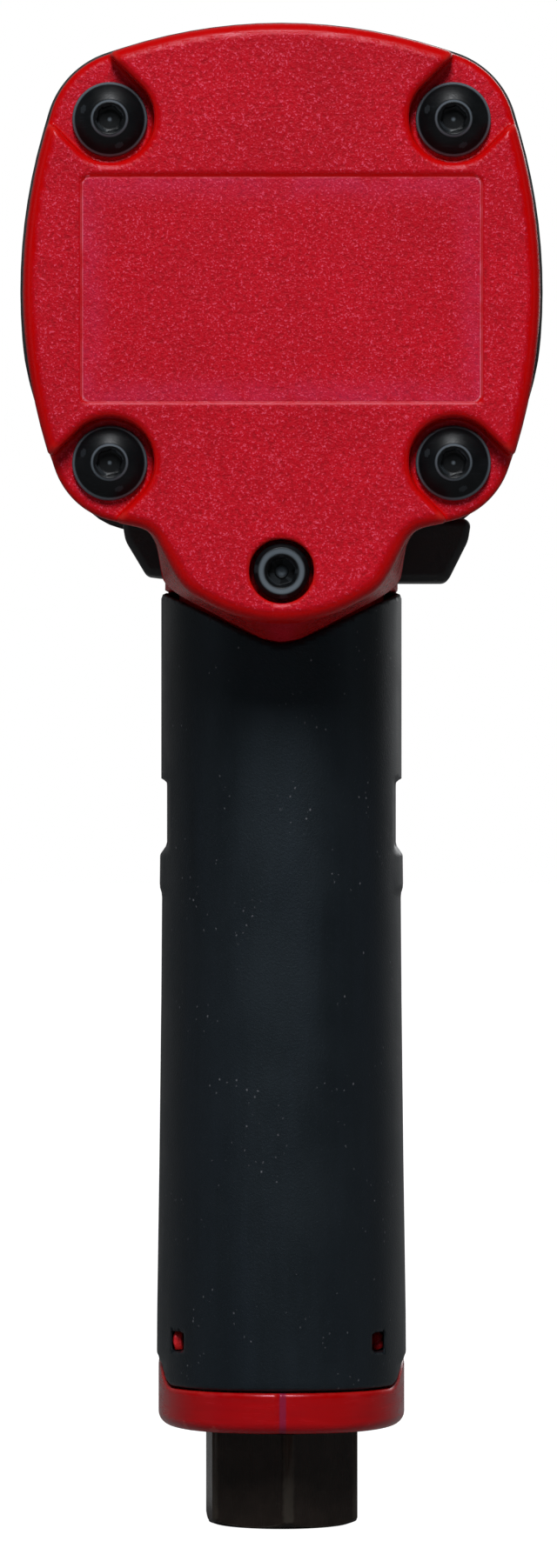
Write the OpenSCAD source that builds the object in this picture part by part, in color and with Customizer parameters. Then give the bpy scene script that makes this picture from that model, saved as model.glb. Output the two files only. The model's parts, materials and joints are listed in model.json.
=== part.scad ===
// Compact air impact wrench with a half inch square drive and a pistol handle.
// Millimetres. +Y points out of the nose, +Z is up, and the handle hangs down.
// The origin is on the spindle axis, in the shoulder plane behind the square drive.

/* [Head] */
// Distance from the rear face of the head to the shoulder behind the square drive
head_len = 87; // [85:1:95]
// Half the width of the rear face at its widest
head_half_w = 32.4; // [32:0.1:34]
// Height of the rear face's top edge above the spindle axis
head_top = 33.5; // [33:0.1:35]
// Depth of the rear cover, from its rear face to the gasket
cover_depth = 15; // [14:0.5:16]
// Depth of the label recess in the rear face
label_depth = 0.2; // [0.1:0.1:0.5]
// Side of the square pattern of the long case screws
screw_square = 43.2; // [42.5:0.1:44]

/* [Drive] */
// Side of the square drive
drive_af = 12.7; // [12.7:0.1:12.9]
// Length of the square drive in front of its shoulder
drive_len = 13; // [11:0.5:16]

/* [Handle] */
// Half the width of the rubber grip in the palm
grip_half_w = 15.6; // [15:0.1:16.5]
// Half the depth of the rubber grip, front to back
grip_half_d = 21; // [20.5:0.1:22]
// Distance from the rear face of the head to the handle's axis
handle_depth = 39; // [38.5:0.1:39.5]
// Height of the handle's lower edge below the spindle axis
handle_drop = 145.3; // [143:0.1:150]

/* [Inlet] */
// Size of the inlet's hexagon across its flats
inlet_af = 19; // [17:1:21]
// Length of the hexagon below the handle
inlet_len = 13.3; // [11:0.1:16]
// Turn of the hexagon from having a flat at the side
inlet_turn = 5; // [0:0.5:30]

/* [Travel] */
// Travel of the trigger
trigger_travel = 5; // [3:0.5:5]
// Full travel of the reverse bar from one side to the other
reverse_travel = 4; // [3:0.5:4]

/* [Hidden] */
$fn = 64;

// Places along the spindle, as distances from the rear face
gasket_t = 1;
housing_d0 = cover_depth + gasket_t;
liner_d0 = housing_d0 - 0.4;
liner_len = 22;
liner_d1 = liner_d0 + liner_len;
front_plate_t = 4.4;
front_boss_len = 6;
housing_d1 = liner_d1 + front_plate_t + front_boss_len + 0.6;
case_d0 = housing_d1 + 0.8;
case_d1 = head_len - 1;
case_flange_len = 13;
fit_gap = 0.05;
lower_screw_z = -35.3;

// Motor
liner_r = 21.9;
liner_bore_r = 17.6;
rotor_offset = 1.5;
rotor_r = 16;
vane_count = 6;
vane_t = 1.9;
vane_depth = 6.4;
plate_t = 4.5;
dowel_x = 20.2;

// Bearings: bore radius, outside radius, width, pitch radius and ball radius
rear_bearing = [4, 11, 7, 7.5, 1.98];
front_bearing = [6, 12, 6, 9, 1.75];
rear_bearing_d = liner_d0 - plate_t - 6.5;
front_bearing_d = liner_d1 + front_plate_t;
rear_ball_count = 7;
front_ball_count = 10;

// Hammers and their cage
cage_r = 23.5;
cage_d0 = housing_d1 + 1.4;
cage_disc_t = 4.6;
hammer_len = 7;
hammer_gap = 0.4;
hammer_r = 20.5;
hammer_pin_r = 2.5;
hammer_pin_at = 16.8;
hammer_rear_d = cage_d0 + cage_disc_t + hammer_gap;
hammer_front_d = hammer_rear_d + hammer_len + hammer_gap;
cage_front_d = hammer_front_d + hammer_len + hammer_gap;
cage_d1 = cage_front_d + 3.6;
case_bore_r = 24.5;
anvil_r = 9.5;
bushing_r = 12.5;
bushing_d0 = cage_d1 + 1;
bushing_d1 = case_d1 - 2.6;

// Handle
handle_top_z = -37.1;
grip_end_z = -136.9;
rubber_t = 2.2;
core_round = 2.5;
ring_half_w = 16.05;
chamber_r = 7.45;
seat_z = -81;
stem_slot_r = 2.6;
trigger_z = -56.5;
trigger_half_w = 7;
trigger_top_z = trigger_z + 9.5;
trigger_bottom_z = trigger_z - 9.5;
trigger_pocket_d = 46.5;
trigger_back_d = trigger_pocket_d + trigger_travel + 0.5;
valve_disc_z = -84.4;
bushing_top_z = -101;
inlet_body_r = 8.9;
inlet_thread_r = 5.72;
inlet_thread_len = 12;
inlet_bore_r = 4.5;
inlet_face_z = -handle_drop - inlet_len;

// Reverse bar, which rests at its right-hand stop
reverse_z = -30.4;
reverse_d = 42.5;
reverse_spool_r = 3.4;
reverse_rest_x = reverse_travel / 2;
spool_groove_x = 6.5;
spool_groove_r = reverse_spool_r - 0.9;
button_pocket_x = 9.4;
neck_half_w = 15.1;
boss_floor_z = -26.9;
detent_ball_r = 1.45;
detent_ball_d = reverse_d - reverse_spool_r - 0.75;
detent_seat_d = detent_ball_d - 7;

// A point on the spindle axis at a distance from the rear face
module at_depth(d) {
    translate([0, d - head_len, 0]) children();
}

// A flat outline in X and Z, made solid between two distances from the rear face
module slab(d0, d1) {
    at_depth(d1) rotate([90, 0, 0]) linear_extrude(d1 - d0) children();
}

// A round bar or ring about the spindle axis
module ring(d0, d1, r_out, r_in = 0) {
    at_depth(d0) rotate([-90, 0, 0]) difference() {
        cylinder(h = d1 - d0, r = r_out);
        if (r_in > 0) translate([0, 0, -1]) cylinder(h = d1 - d0 + 2, r = r_in);
    }
}

// A round bar along the spindle direction, off the axis
module bar_y(x, z, d0, d1, r) {
    translate([x, 0, z]) at_depth(d0) rotate([-90, 0, 0]) cylinder(h = d1 - d0, r = r);
}

// A round bar or ring that stands upright on the handle's axis
module post(z0, z1, r_out, r_in = 0, x = 0, d = handle_depth) {
    translate([x, d - head_len, z0]) difference() {
        cylinder(h = z1 - z0, r = r_out);
        if (r_in > 0) translate([0, 0, -1]) cylinder(h = z1 - z0 + 2, r = r_in);
    }
}

// A box between two corners, with Y given as distances from the rear face
module block(x0, x1, d0, d1, z0, z1) {
    translate([x0, d0 - head_len, z0]) cube([x1 - x0, d1 - d0, z1 - z0]);
}

// One rounded corner of an outline: an arc that touches both straight sides, moved out by grow
function corner_arc(before, at, after, r, grow, n) =
    let (u = (before - at) / norm(before - at),
         v = (after - at) / norm(after - at),
         half = acos(u * v) / 2,
         mid = (u + v) / norm(u + v),
         centre = at + mid * r / sin(half),
         bend = sign(cross(at - before, after - at)),
         from = at + u * r / tan(half) - centre,
         a0 = atan2(from[1], from[0]),
         swing = bend * (180 - 2 * half),
         radius = r - bend * grow)
    [for (i = [0 : n]) centre + radius * [cos(a0 + swing * i / n), sin(a0 + swing * i / n)]];

// A closed outline with an arc at each corner; corners run clockwise as [x, z, radius]
function rounded(corners, grow = 0, n = 6) =
    let (count = len(corners), xz = [for (c = corners) [c[0], c[1]]])
    [for (i = [0 : count - 1])
        each corner_arc(xz[(i + count - 1) % count], xz[i], xz[(i + 1) % count],
                        corners[i][2], grow, n)];

function mirrored(half) = [for (i = [len(half) - 1 : -1 : 0]) [-half[i][0], half[i][1], half[i][2]]];

// Right-hand corners of the head, from the top edge down to the bottom corner
head_side = [[27.3, 28, 10.5], [head_half_w + 2.94, 0, 72], [27.2, -28, 10]];
head_top_corner = [[0, head_top + 3.31, 65]];
head_bottom_corner = [[0, -34.5, 65]];
plain_corners = concat(head_top_corner, head_side, head_bottom_corner, mirrored(head_side));

// The lobe under the head flares from 0 at the rear face to 1 where it meets the handle
function lobe_side(flare) =
    [[16.3, -30.2, 3.5], [12.2 + 2.8 * flare, -37.5 + 1.2 * flare, 6 - 4 * flare]];
function lobed_corners(flare) =
    concat(head_top_corner, head_side, lobe_side(flare), [[0, -44.7 + 0.55 * flare, 18.7 - 12 * flare]],
           mirrored(lobe_side(flare)), mirrored(head_side));

module lobed_outline(grow = 0, flare = 0) {
    polygon(rounded(lobed_corners(flare), grow));
}

module plain_outline(grow = 0) {
    polygon(rounded(plain_corners, grow));
}

// A closed skin over rings of points; every ring has the same number of points
module loft(rings) {
    n = len(rings[0]);
    last = len(rings) - 1;
    polyhedron(points = [for (r = rings) each r],
               faces = concat([[for (i = [0 : n - 1]) i]],
                              [for (k = [0 : last - 1], i = [0 : n - 1])
                                  [k * n + i, (k + 1) * n + i, (k + 1) * n + (i + 1) % n]],
                              [for (k = [0 : last - 1], i = [0 : n - 1])
                                  [k * n + i, (k + 1) * n + (i + 1) % n, k * n + (i + 1) % n]],
                              [[for (i = [n - 1 : -1 : 0]) last * n + i]]));
}

// One level cut through the handle: a rounded section about the handle's axis
function handle_ring(z, half_w, half_d, round = core_round, n = 40) =
    [for (i = [0 : n - 1])
        let (c = cos(360 * i / n), s = sin(360 * i / n))
        [half_w * sign(c) * pow(abs(c), 2 / round),
         handle_depth - head_len + half_d * sign(s) * pow(abs(s), 2 / round), z]];

// Places of the four long screws
module at_case_screws() {
    for (x = [-1, 1], z = [-1, 1])
        translate([x * screw_square / 2, 0, z * screw_square / 2]) children();
}

// ---- Head shells ----

module screw_pocket() {
    // Round seat for a screw head that opens out towards its corner of the head
    seat_r = 5.6;
    slab(-1, 3.6) rotate(45)
        polygon(rounded([[-seat_r, seat_r, seat_r - 0.1], [20, seat_r, 0.5],
                         [20, -seat_r, 0.5], [-seat_r, -seat_r, seat_r - 0.1]], 0, 8));
}

module rear_cover() {
    // The rim is rounded in steps and the sides lean out a little towards the gasket
    rim = 1.6;
    rim_steps = 4;
    draft = 0.6;
    color("crimson") difference() {
        union() {
            for (i = [0 : rim_steps - 1])
                let (a = 90 * (i + 0.5) / rim_steps)
                    slab(rim * (1 - cos(90 * i / rim_steps)), cover_depth / 2)
                        lobed_outline(-rim * (1 - sin(a)));
            slab(cover_depth / 4, cover_depth) lobed_outline(draft / 2, 0.4);
            slab(cover_depth * 0.6, cover_depth) lobed_outline(draft, 0.8);
        }
        slab(-1, label_depth) polygon(rounded([[-25.2, 14.4, 1], [25.2, 14.4, 1],
                                               [25.2, -14.3, 1], [-25.2, -14.3, 1]]));
        for (a = [0 : 90 : 270])
            rotate([0, -a, 0]) translate([screw_square / 2, 0, screw_square / 2]) screw_pocket();
        at_case_screws() bar_y(0, 0, -1, cover_depth + 1, 2.75);
        bar_y(0, lower_screw_z, -1, 4.4, 4.05);
        bar_y(0, lower_screw_z, -1, cover_depth + 1, 2.2);
        ring(rear_bearing_d - 0.4, cover_depth + 1, 14.4);
        ring(liner_d0 - plate_t - 0.1, cover_depth + 1, liner_r + 0.15);
    }
}

module gasket_holes(d0, d1) {
    at_case_screws() bar_y(0, 0, d0 - 1, d1 + 1, 2.9);
    ring(d0 - 1, d1 + 1, liner_r + 0.3);
}

module rear_gasket() {
    color("#181818") difference() {
        slab(cover_depth + 0.01, housing_d0 - 0.01) union() {
            lobed_outline(0.9, 1);
            translate([0, 0.7]) plain_outline(0.9);
        }
        gasket_holes(cover_depth, housing_d0);
        bar_y(0, lower_screw_z, cover_depth - 1, housing_d0 + 1, 2.3);
    }
}

module case_gasket() {
    color("#202020") difference() {
        slab(housing_d1 + 0.01, case_d0 - 0.01) plain_outline(-1.2);
        at_case_screws() bar_y(0, 0, housing_d1 - 1, case_d0 + 1, 2.9);
        ring(housing_d1 - 1, case_d0 + 1, 15.2);
    }
}

// ---- Fasteners ----

module hex_socket(d0, depth, across_flats) {
    at_depth(d0 - 1) rotate([-90, 0, 0])
        cylinder(h = depth + 1, r = across_flats / sqrt(3), $fn = 6);
}

module case_screws() {
    seat = 3.6;
    head_h = 2.75;
    head_r = 4.75;
    dome_r = (head_h * head_h + head_r * head_r) / (2 * head_h) + 1.4;
    color("#1a1a1c") at_case_screws() {
        difference() {
            union() {
                intersection() {
                    bar_y(0, 0, seat - head_h, seat - 0.01, head_r);
                    at_depth(seat - head_h + dome_r) sphere(r = dome_r);
                }
                bar_y(0, 0, seat - 0.02, case_d0 + 11, 2.45);
            }
            hex_socket(seat - head_h, 1.6, 3);
        }
    }
}

module lower_screw() {
    seat = 4.4;
    color("#26262a") difference() {
        union() {
            bar_y(0, lower_screw_z, seat - 4, seat - 0.01, 3.5);
            bar_y(0, lower_screw_z, seat - 0.02, housing_d0 + 6, 1.95);
        }
        translate([0, 0, lower_screw_z]) hex_socket(seat - 4, 2.2, 3);
    }
}

module lower_screw_insert() {
    color("#b5933d") difference() {
        bar_y(0, lower_screw_z, housing_d0 + 0.3, housing_d0 + 7, 3.1);
        bar_y(0, lower_screw_z, housing_d0 - 1, housing_d0 + 8, 2);
    }
}

// ---- Motor housing and handle ----

module handle_core() {
    // The moulded core under the rubber, and the bare front of the neck round the trigger
    core_w = grip_half_w - rubber_t;
    core_d = grip_half_d - rubber_t;
    loft([handle_ring(-136.5, core_w + 0.4, core_d), handle_ring(-110, core_w, core_d),
          handle_ring(-60, core_w, core_d), handle_ring(-43, core_w, core_d)]);
    intersection() {
        loft([handle_ring(-69.6, 14.9, grip_half_d - 0.3), handle_ring(-44, 15.1, grip_half_d - 0.3),
              handle_ring(-24, neck_half_w, grip_half_d - 0.6)]);
        union() {
            block(-20, 20, handle_depth + 8.4, 80, -75, -36.5);
            block(-20, 20, 10, housing_d1, -36.6, -20);
            block(-20, 20, 10, 80, -36.6, -32.8);
        }
    }
}

module handle_passages() {
    // Air comes up the handle's axis and leaves by two passages behind it
    post(-140, seat_z - 20, inlet_body_r + fit_gap);
    post(seat_z - 21, seat_z, chamber_r);
    post(seat_z - 1, -39, 3);
    for (x = [-6.5, 6.5]) post(-140, -20, 2.8, 0, x, handle_depth - 11.5);
    slot_back = handle_depth - trigger_travel - 3;
    block(-stem_slot_r, stem_slot_r, slot_back, handle_depth, seat_z + 1, -50);
    block(-trigger_half_w - 0.3, trigger_half_w + 0.3, trigger_pocket_d, 80,
          trigger_bottom_z - 0.3, trigger_top_z + 0.3);
    bar_y(0, trigger_z, handle_depth, trigger_pocket_d + 1, 3.65);
}

module reverse_passages() {
    // Cross bore for the reverse sleeve, and an open pocket at each side for the buttons
    translate([-neck_half_w - 2, reverse_d - head_len, reverse_z]) rotate([0, 90, 0])
        cylinder(h = 2 * neck_half_w + 4, r = reverse_spool_r + 1.25);
    for (side = [-1, 1]) mirror([side < 0 ? 1 : 0, 0, 0]) {
        block(button_pocket_x, 40, reverse_d - 5.9, reverse_d + 5.9, -36.1, boss_floor_z);
        block(neck_half_w + 0.1, 40, reverse_d - 5.9, 80, -36.1, boss_floor_z);
    }
    bar_y(0, reverse_z, detent_seat_d - 0.05, reverse_d, 1.65);
}

module motor_housing() {
    color("#c01018") difference() {
        union() {
            slab(housing_d0, housing_d0 + 6) lobed_outline(0.3, 1);
            slab(housing_d0 + 5, housing_d1) plain_outline(0.3);
            handle_core();
        }
        ring(housing_d0 - 1, liner_d1 + front_plate_t + 0.05, liner_r + fit_gap);
        ring(liner_d1, housing_d1 + 1, 14.7);
        at_case_screws() bar_y(0, 0, housing_d0 - 1, housing_d1 + 1, 2.75);
        bar_y(0, lower_screw_z, housing_d0 - 1, housing_d0 + 7.2, 3.15);
        handle_passages();
        reverse_passages();
    }
}

// Height of the rubber's top edge, which dips in a soft V behind the neck to follow the lobe
function grip_top(x, behind) = behind ? min(handle_top_z, -45.1 + norm([0.51 * x, 1.1])) : handle_top_z;

// The joint between the rubber and the foot ring: lower in front and behind than at the sides
function foot_edge(w, d, lift, n = 40) =
    [for (i = [0 : n - 1])
        let (p = handle_ring(0, w, d, core_round, n)[i],
             dip = min(1, max(0, (abs(sin(360 * i / n)) - 0.1) / 0.4)))
        [p[0], p[1], grip_end_z + lift - 3 * dip * dip * (3 - 2 * dip)]];

module grip_sleeve() {
    // A tube: up the outside, over the top edge, down the inside and round the bottom edge
    n = 40;
    gap = 0.1;
    outside = [[-136, 0.65, 0], [-131, 0.65, 0], [-111, 0.35, 0], [-90, 0.1, 0], [-76, 0, 0],
               [-75.2, 0.25, 0], [-71.6, 0.2, 0], [-70.4, -0.6, 0], [-61.6, -0.6, 0],
               [-61.2, 0.1, 0], [-50, 0.1, 0]];
    core_w = grip_half_w - rubber_t + gap;
    core_d = grip_half_d - rubber_t + gap;
    function skin(z, w, d, top) =
        [for (i = [0 : n - 1])
            let (p = handle_ring(z, w, d, core_round, n)[i])
            [p[0], p[1], top ? grip_top(p[0], i > n / 2) : z]];
    function bottom(w, d) = foot_edge(w, d, 0.05, n);
    rings = concat(
        [bottom(core_w + 0.4, core_d)],
        [bottom(grip_half_w + 0.4, grip_half_d - 0.1)],
        [for (o = outside) skin(o[0], grip_half_w + o[1], grip_half_d + o[2], false)],
        [skin(0, grip_half_w + 0.1, grip_half_d, true)],
        [skin(0, core_w, core_d, true)],
        [skin(-50, core_w, core_d, false)],
        [skin(-110, core_w, core_d, false)]);
    color("#1b1d20") difference() {
        tube(rings);
        block(-30, 30, handle_depth + 8, 80, -70, 0);
        for (x = [-13.3, 12.4]) block(x - 0.7, x + 0.7, 0, handle_depth, -135.1, -132.6);
    }
}

// A closed skin whose last ring joins back to its first, like a bent pipe wall
module tube(rings) {
    n = len(rings[0]);
    count = len(rings);
    polyhedron(points = [for (r = rings) each r],
               faces = [for (k = [0 : count - 1], i = [0 : n - 1], half = [0, 1])
                   let (a = k * n + i, b = k * n + (i + 1) % n,
                        c = ((k + 1) % count) * n + i, d = ((k + 1) % count) * n + (i + 1) % n)
                   half == 0 ? [a, c, d] : [a, d, b]]);
}

// ---- Foot of the handle ----

module base_ring() {
    // The glossy cap round the foot, higher at the sides than behind
    inner_w = grip_half_w - rubber_t + 0.9;
    inner_d = grip_half_d - rubber_t + 0.5;
    floor_t = 2.7;
    color("#b00c10") difference() {
        union() {
            loft([handle_ring(-handle_drop, ring_half_w - 1.3, grip_half_d - 1.3),
                  handle_ring(-handle_drop + 0.5, ring_half_w - 0.4, grip_half_d - 0.4),
                  handle_ring(-handle_drop + 1.4, ring_half_w, grip_half_d),
                  handle_ring(-handle_drop + floor_t, ring_half_w, grip_half_d)]);
            tube([handle_ring(-handle_drop + floor_t - 0.5, inner_w, inner_d),
                  handle_ring(-handle_drop + floor_t - 0.5, ring_half_w - 0.3, grip_half_d - 0.3),
                  foot_edge(ring_half_w - 0.1, grip_half_d - 0.1, -0.05),
                  foot_edge(inner_w, inner_d, -0.05)]);
        }
        post(-150, -140, 11.3);
        for (x = [-12.4, 12.4], d = [-8, -3, 2, 7])
            translate([x, handle_depth + d - head_len, -150]) cylinder(h = 12, r = 1);
    }
}

module base_gasket() {
    gasket_w = grip_half_w - rubber_t + 0.3;
    gasket_d = grip_half_d - rubber_t;
    color("#151515") difference() {
        loft([handle_ring(-137.5, gasket_w, gasket_d), handle_ring(-136.6, gasket_w, gasket_d)]);
        post(-140, -130, inlet_body_r + 0.3);
        for (x = [-6.5, 6.5]) post(-140, -130, 2.8, 0, x, handle_depth - 11.5);
    }
}

module exhaust_silencer() {
    // A ring of porous felt that the spent air leaves through
    felt_w = grip_half_w - rubber_t + 0.3;
    felt_d = grip_half_d - rubber_t;
    color("#8d8a80") difference() {
        loft([handle_ring(-142.4, felt_w, felt_d), handle_ring(-137.6, felt_w, felt_d)]);
        post(-150, -130, inlet_body_r + 0.3);
    }
}

module inlet_bushing() {
    hex_r = inlet_af / sqrt(3);
    color("#232120") difference() {
        union() {
            intersection() {
                translate([0, handle_depth - head_len, inlet_face_z]) rotate(150 + inlet_turn)
                    cylinder(h = inlet_len - 0.05, r = hex_r, $fn = 6);
                post(inlet_face_z, inlet_face_z + inlet_len, hex_r - 0.35);
            }
            post(inlet_face_z + inlet_len - 0.1, bushing_top_z, inlet_body_r);
        }
        post(inlet_face_z - 1, inlet_face_z + inlet_thread_len, inlet_thread_r);
        post(inlet_face_z + 2, bushing_top_z + 1, inlet_bore_r);
        post(-130, -127.6, inlet_body_r + 1, inlet_body_r - 1.3);
    }
}

module o_ring(z, mid_r, wire_r) {
    translate([0, handle_depth - head_len, z]) rotate_extrude() translate([mid_r, 0]) circle(r = wire_r);
}

module inlet_o_ring() {
    color("#101010") o_ring(-128.8, inlet_body_r - 0.6, 0.6);
}

module inlet_screen() {
    mesh_pitch = 1.15;
    color("#c8c8c8") difference() {
        post(inlet_face_z + inlet_thread_len + 0.1, inlet_face_z + inlet_thread_len + 0.9,
             inlet_bore_r - fit_gap);
        for (row = [-3 : 3], col = [-3 : 3])
            if (norm([row, col]) < 3.3)
                post(inlet_face_z, inlet_face_z + inlet_thread_len + 2, 0.4, 0,
                     col * mesh_pitch, handle_depth + row * mesh_pitch);
    }
}

// ---- Throttle ----

module throttle_seat() {
    color("#b08d3a") post(seat_z - 3, seat_z - 0.05, chamber_r - fit_gap, 3.2);
}

module throttle_valve() {
    // A tilting valve: the disc closes the seat and its stem reaches up to the trigger
    color("#c9b071") union() {
        post(valve_disc_z - 1.6, valve_disc_z, 5.2);
        post(valve_disc_z - 0.1, trigger_z + 3, 1.1);
        post(valve_disc_z - 3.6, valve_disc_z - 1.5, 2.2);
    }
}

module throttle_valve_washer() {
    color("#161616") post(valve_disc_z + 0.02, seat_z - 3.05, 4.9, 1.15);
}

module throttle_spring() {
    turns = 5;
    wire_r = 0.4;
    coil_r = 3.6;
    z0 = bushing_top_z + 0.6;
    z1 = valve_disc_z - 2.1;
    steps = 60;
    sides = 6;
    rings = [for (k = [0 : steps])
        let (t = k / steps, a = 360 * turns * t)
        [for (i = [0 : sides - 1])
            let (b = 360 * i / sides, r = coil_r + wire_r * cos(b))
            [r * cos(a), handle_depth - head_len + r * sin(a), z0 + (z1 - z0) * t + wire_r * sin(b)]]];
    color("#a8a8ac") loft(rings);
}

module trigger() {
    // The finger pad is hollowed for one finger, and its block slides in the handle
    pad_top = trigger_top_z + 1.5;
    pad_bottom = trigger_bottom_z - 1;
    pad_d0 = handle_depth + grip_half_d + trigger_travel + 0.3;
    pad_half_w = 8.2;
    pad_mid = (pad_top + pad_bottom) / 2;
    pad_half = (pad_top - pad_bottom) / 2;
    pad_face = [for (i = [0 : 12])
        let (t = i / 6 - 1)
        [pad_d0 + 2.4 + 3.2 * t * t + 0.8 * t, pad_mid + t * pad_half]];
    color("#17181a") difference() {
        union() {
            translate([-pad_half_w, -head_len, 0]) rotate([90, 0, 90]) linear_extrude(2 * pad_half_w)
                polygon(concat([[pad_d0, pad_top], [pad_d0, pad_bottom]], pad_face));
            block(-trigger_half_w, trigger_half_w, trigger_back_d, pad_d0 + 0.1,
                  trigger_bottom_z, trigger_top_z);
        }
        bar_y(0, trigger_z, trigger_back_d - 1, trigger_back_d + 7, 2.02);
        translate([-20, trigger_back_d + 4 - head_len, trigger_z]) rotate([0, 90, 0])
            cylinder(h = 40, r = 1.02);
    }
}

module trigger_stem() {
    color("#9a9a9e") difference() {
        bar_y(0, trigger_z, handle_depth + 1.15, trigger_back_d + 6.9, 2);
        translate([-20, trigger_back_d + 4 - head_len, trigger_z]) rotate([0, 90, 0])
            cylinder(h = 40, r = 1.02);
    }
}

module trigger_cross_pin() {
    color("#8a8a8e") translate([-6.8, trigger_back_d + 4 - head_len, trigger_z]) rotate([0, 90, 0])
        cylinder(h = 13.6, r = 1);
}

module trigger_bushing() {
    color("#b08d3a") difference() {
        bar_y(0, trigger_z, handle_depth + 3.1, trigger_pocket_d - 0.05, 3.6);
        bar_y(0, trigger_z, handle_depth, trigger_pocket_d + 1, 2.04);
    }
}

// ---- Reverse valve ----

module cross_bar(x0, x1, r) {
    translate([x0, reverse_d - head_len, reverse_z]) rotate([0, 90, 0]) cylinder(h = x1 - x0, r = r);
}

module reverse_sleeve() {
    color("#b08d3a") difference() {
        cross_bar(-button_pocket_x + 0.1, button_pocket_x - 0.1, reverse_spool_r + 1.2);
        cross_bar(-20, 20, reverse_spool_r + 0.04);
        bar_y(0, reverse_z, reverse_d - 10, reverse_d, 1.65);
        translate([0, reverse_d - head_len, reverse_z]) cylinder(h = 10, r = 2);
    }
}

module reverse_spool() {
    // The middle waist lets the air past and holds the detent ball; the grooves take the O-rings
    waist_half = 3.8;
    groove_half = 0.5;
    color("#a4a4a8") translate([reverse_rest_x, 0, 0]) difference() {
        cross_bar(-12.5, 12.5, reverse_spool_r);
        for (waist = [[0, waist_half], [-spool_groove_x, groove_half], [spool_groove_x, groove_half]])
            difference() {
                cross_bar(waist[0] - waist[1], waist[0] + waist[1], reverse_spool_r + 1);
                cross_bar(waist[0] - waist[1] - 1, waist[0] + waist[1] + 1, spool_groove_r);
            }
    }
}

module reverse_o_rings() {
    wire_r = 0.43;
    color("#101010") for (x = [-spool_groove_x, spool_groove_x])
        translate([x + reverse_rest_x, reverse_d - head_len, reverse_z]) rotate([0, 90, 0])
            rotate_extrude() translate([spool_groove_r + wire_r + 0.02, 0]) circle(r = wire_r);
}

module reverse_button(side) {
    // The block slides in the side of the neck and its outer end flares up under the head
    x0 = 12.6 + reverse_rest_x * side;
    top_x = 22.85 + reverse_rest_x * side;
    low_x = 19.7 + reverse_rest_x * side;
    low_z = side > 0 ? -35.6 : -34.6;
    in_z = -35.6;
    color("#121314") mirror([side < 0 ? 1 : 0, 0, 0]) difference() {
        slab(reverse_d - 5.5, reverse_d + 5.5)
            polygon(rounded([[x0, -27.3, 0.3], [top_x, -27.3, 1], [top_x - 0.6, -30.2, 4],
                             [low_x, low_z, 1.2], [x0, in_z, 0.3]], 0, 3));
        translate([x0 - 1, reverse_d - head_len, reverse_z]) rotate([0, 90, 0])
            cylinder(h = 5, r = reverse_spool_r + 0.02);
    }
}

module reverse_button_left() {
    reverse_button(-1);
}

module reverse_button_right() {
    reverse_button(1);
}

module detent_ball() {
    color("#c4c4c8") at_depth(detent_ball_d) translate([0, 0, reverse_z]) sphere(r = detent_ball_r);
}

module detent_spring() {
    turns = 5;
    wire_r = 0.25;
    coil_r = 1.25;
    d0 = detent_seat_d + wire_r + 0.05;
    d1 = detent_ball_d - detent_ball_r - wire_r - 0.05;
    steps = 48;
    sides = 6;
    color("#a8a8ac") loft([for (k = [steps : -1 : 0])
        let (t = k / steps, a = 360 * turns * t)
        [for (i = [0 : sides - 1])
            let (b = 360 * i / sides, r = coil_r + wire_r * cos(b))
            [r * cos(a), d0 + (d1 - d0) * t + wire_r * sin(b) - head_len, reverse_z + r * sin(a)]]]);
}

// ---- Motor ----

module rear_end_plate() {
    boss_d = rear_bearing_d;
    color("#b9bbbf") difference() {
        union() {
            ring(liner_d0 - plate_t, liner_d0 - 0.02, liner_r);
            ring(boss_d, liner_d0 - plate_t + 0.1, 14.2);
        }
        ring(boss_d - 1, boss_d + rear_bearing[2] + fit_gap, rear_bearing[1] + 0.02);
        ring(boss_d - 1, liner_d0 + 1, 6);
        dowel_hole();
        for (a = [200 : 35 : 340]) rotate([0, a, 0]) bar_y(18.2, 0, 0, liner_d0 + 1, 1.6);
    }
}

module front_end_plate() {
    color("#b9bbbf") difference() {
        union() {
            ring(liner_d1 + 0.02, liner_d1 + front_plate_t, liner_r);
            ring(liner_d1 + front_plate_t - 0.1, liner_d1 + front_plate_t + front_boss_len, 14.6);
        }
        ring(front_bearing_d - fit_gap, front_bearing_d + 20, front_bearing[1] + 0.02);
        ring(liner_d1 - 1, liner_d1 + 20, 8);
        dowel_hole();
    }
}

module dowel_hole() {
    bar_y(-dowel_x, 0, liner_d0 - 3, liner_d1 + 3, 1.05);
}

module cylinder_dowel() {
    color("#909094") bar_y(-dowel_x, 0, liner_d0 - 2.9, liner_d1 + 2.9, 1);
}

module motor_cylinder() {
    // The bore sits below the spindle axis, so that the chambers swell towards the bottom
    color("#8f9296") difference() {
        ring(liner_d0, liner_d1, liner_r);
        translate([0, 0, -rotor_offset]) ring(liner_d0 - 1, liner_d1 + 1, liner_bore_r);
        dowel_hole();
        for (d = [4 : 3.5 : 18], side = [-1, 1])
            translate([0, 0, -12.5]) at_depth(liner_d0 + d) rotate([0, 90 * side, 0])
                cylinder(h = 30, r = 1.1);
    }
}

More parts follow.
